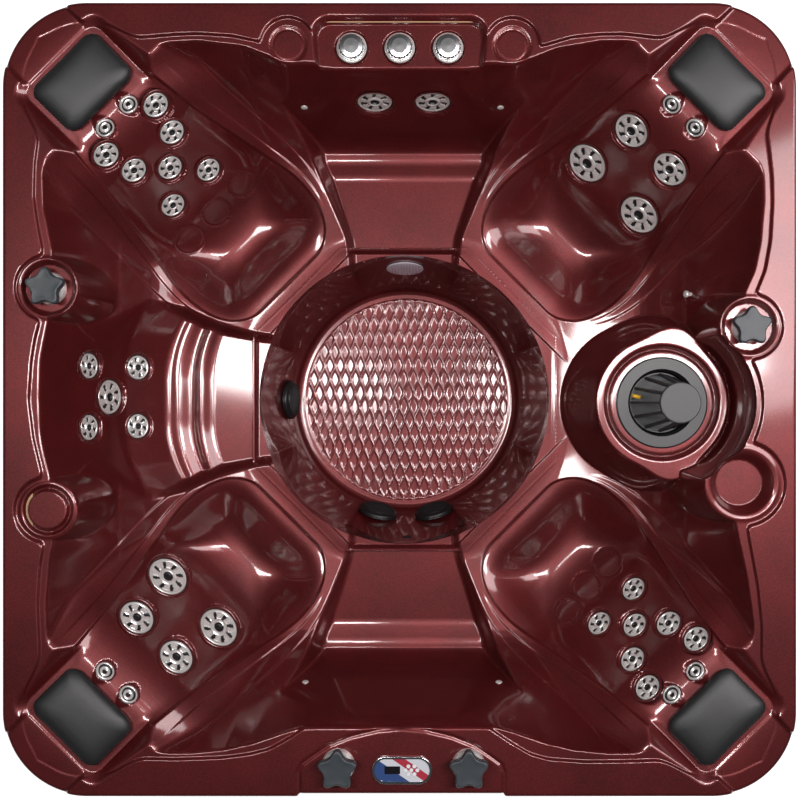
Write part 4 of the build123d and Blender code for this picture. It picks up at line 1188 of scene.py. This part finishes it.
shell_points = build_shell(acrylic)
build_footwell(acrylic, shell_points)
add_jets(chrome, black, acrylic)
for name, angle in (("pillow_ne", 45), ("pillow_nw", 135), ("pillow_sw", 225), ("pillow_se", 315)):
    add_pillow(name, angle, skin)
star_knobs = [
    ("diverter_knob_west", west_knob, rim_z - bowl_depth), ("diverter_knob_east", east_knob, rim_z - bowl_depth),
    ("diverter_knob_front_left", console_knobs[0], rim_z), ("diverter_knob_front_right", console_knobs[1], rim_z),
]
for name, place, floor in star_knobs:
    add_star_knob(name, place, floor, slate)

# The CAD nodes that are shown as they are
node_materials = {
    "jet_bodies": black, "led_lights": chrome, "drain_fitting": black, "valve_collars": chrome,
    "air_knob_1": satin, "air_knob_2": satin, "air_knob_3": satin, "control_panel_housing": panel_material(),
    "filter_collar": black, "filter_basket": grey_cap, "filter_cartridge": paper,
    "cabinet_corner_posts": boards, "cabinet_side_panels": boards, "access_panel": boards,
    "support_frame": timber, "base_pan": black, "jet_pumps": pump_paint, "heater_tube": steel,
    "control_box": box_plastic, "plumbing": pipe_plastic,
}
for number in range(1, 8):
    node_materials[f"panel_key_{number}"] = key_rubber
add_suction_covers(black)
add_light_lens(lens_plastic)
add_filter_tab(yellow)
for node, material in node_materials.items():
    set_material(node, material)


def soft_light(name, place, size, power, colour=(1, 1, 1), aim=(0, 0, 0.6)):
    """A rectangular studio light at a place in metres, turned to face its aim."""
    data = bpy.data.lights.new(name, "AREA")
    data.shape = "RECTANGLE"
    data.size, data.size_y = size
    data.energy = power
    data.color = colour
    lamp = bpy.data.objects.new(name, data)
    lamp.location = place
    direction = np.array(aim) - np.array(place)
    lamp.rotation_euler = Vector(direction).to_track_quat("-Z", "Y").to_euler()
    bpy.context.scene.collection.objects.link(lamp)
    return lamp


def studio():
    """A pale floor, a dark ceiling and soft boxes beside the camera."""
    floor_mesh = bpy.data.meshes.new("floor")
    reach = 12.0
    floor_mesh.from_pydata(
        [(-reach, -reach, 0), (reach, -reach, 0), (reach, reach, 0), (-reach, reach, 0)], [], [(0, 1, 2, 3)]
    )
    floor = bpy.data.objects.new("floor", floor_mesh)
    floor.location.z = -0.0005
    bpy.context.scene.collection.objects.link(floor)
    material, nodes, links, shader = new_material("pale_floor")
    shader.inputs["Base Color"].default_value = (0.9, 0.9, 0.9, 1)
    shader.inputs["Roughness"].default_value = 0.9
    shader.inputs["Emission Color"].default_value = (1, 1, 1, 1)
    shader.inputs["Emission Strength"].default_value = 0.9
    floor_mesh.materials.append(material)
    world = bpy.data.worlds.new("studio")
    world.use_nodes = True
    world.node_tree.nodes["Background"].inputs["Color"].default_value = (0.5, 0.5, 0.52, 1)
    world.node_tree.nodes["Background"].inputs["Strength"].default_value = 0.09
    bpy.context.scene.world = world
    soft_light("left_box", (-1.0, 0.2, 4.2), (0.34, 1.5), 62, (1, 0.96, 0.95))
    soft_light("right_box", (1.15, 0.2, 4.2), (0.34, 1.5), 66, (1, 0.96, 0.96))
    soft_light("far_right_box", (2.7, 0.9, 4.0), (1.5, 2.4), 95, (1, 0.93, 0.94))
    bpy.context.scene.view_settings.view_transform = "Standard"


studio()
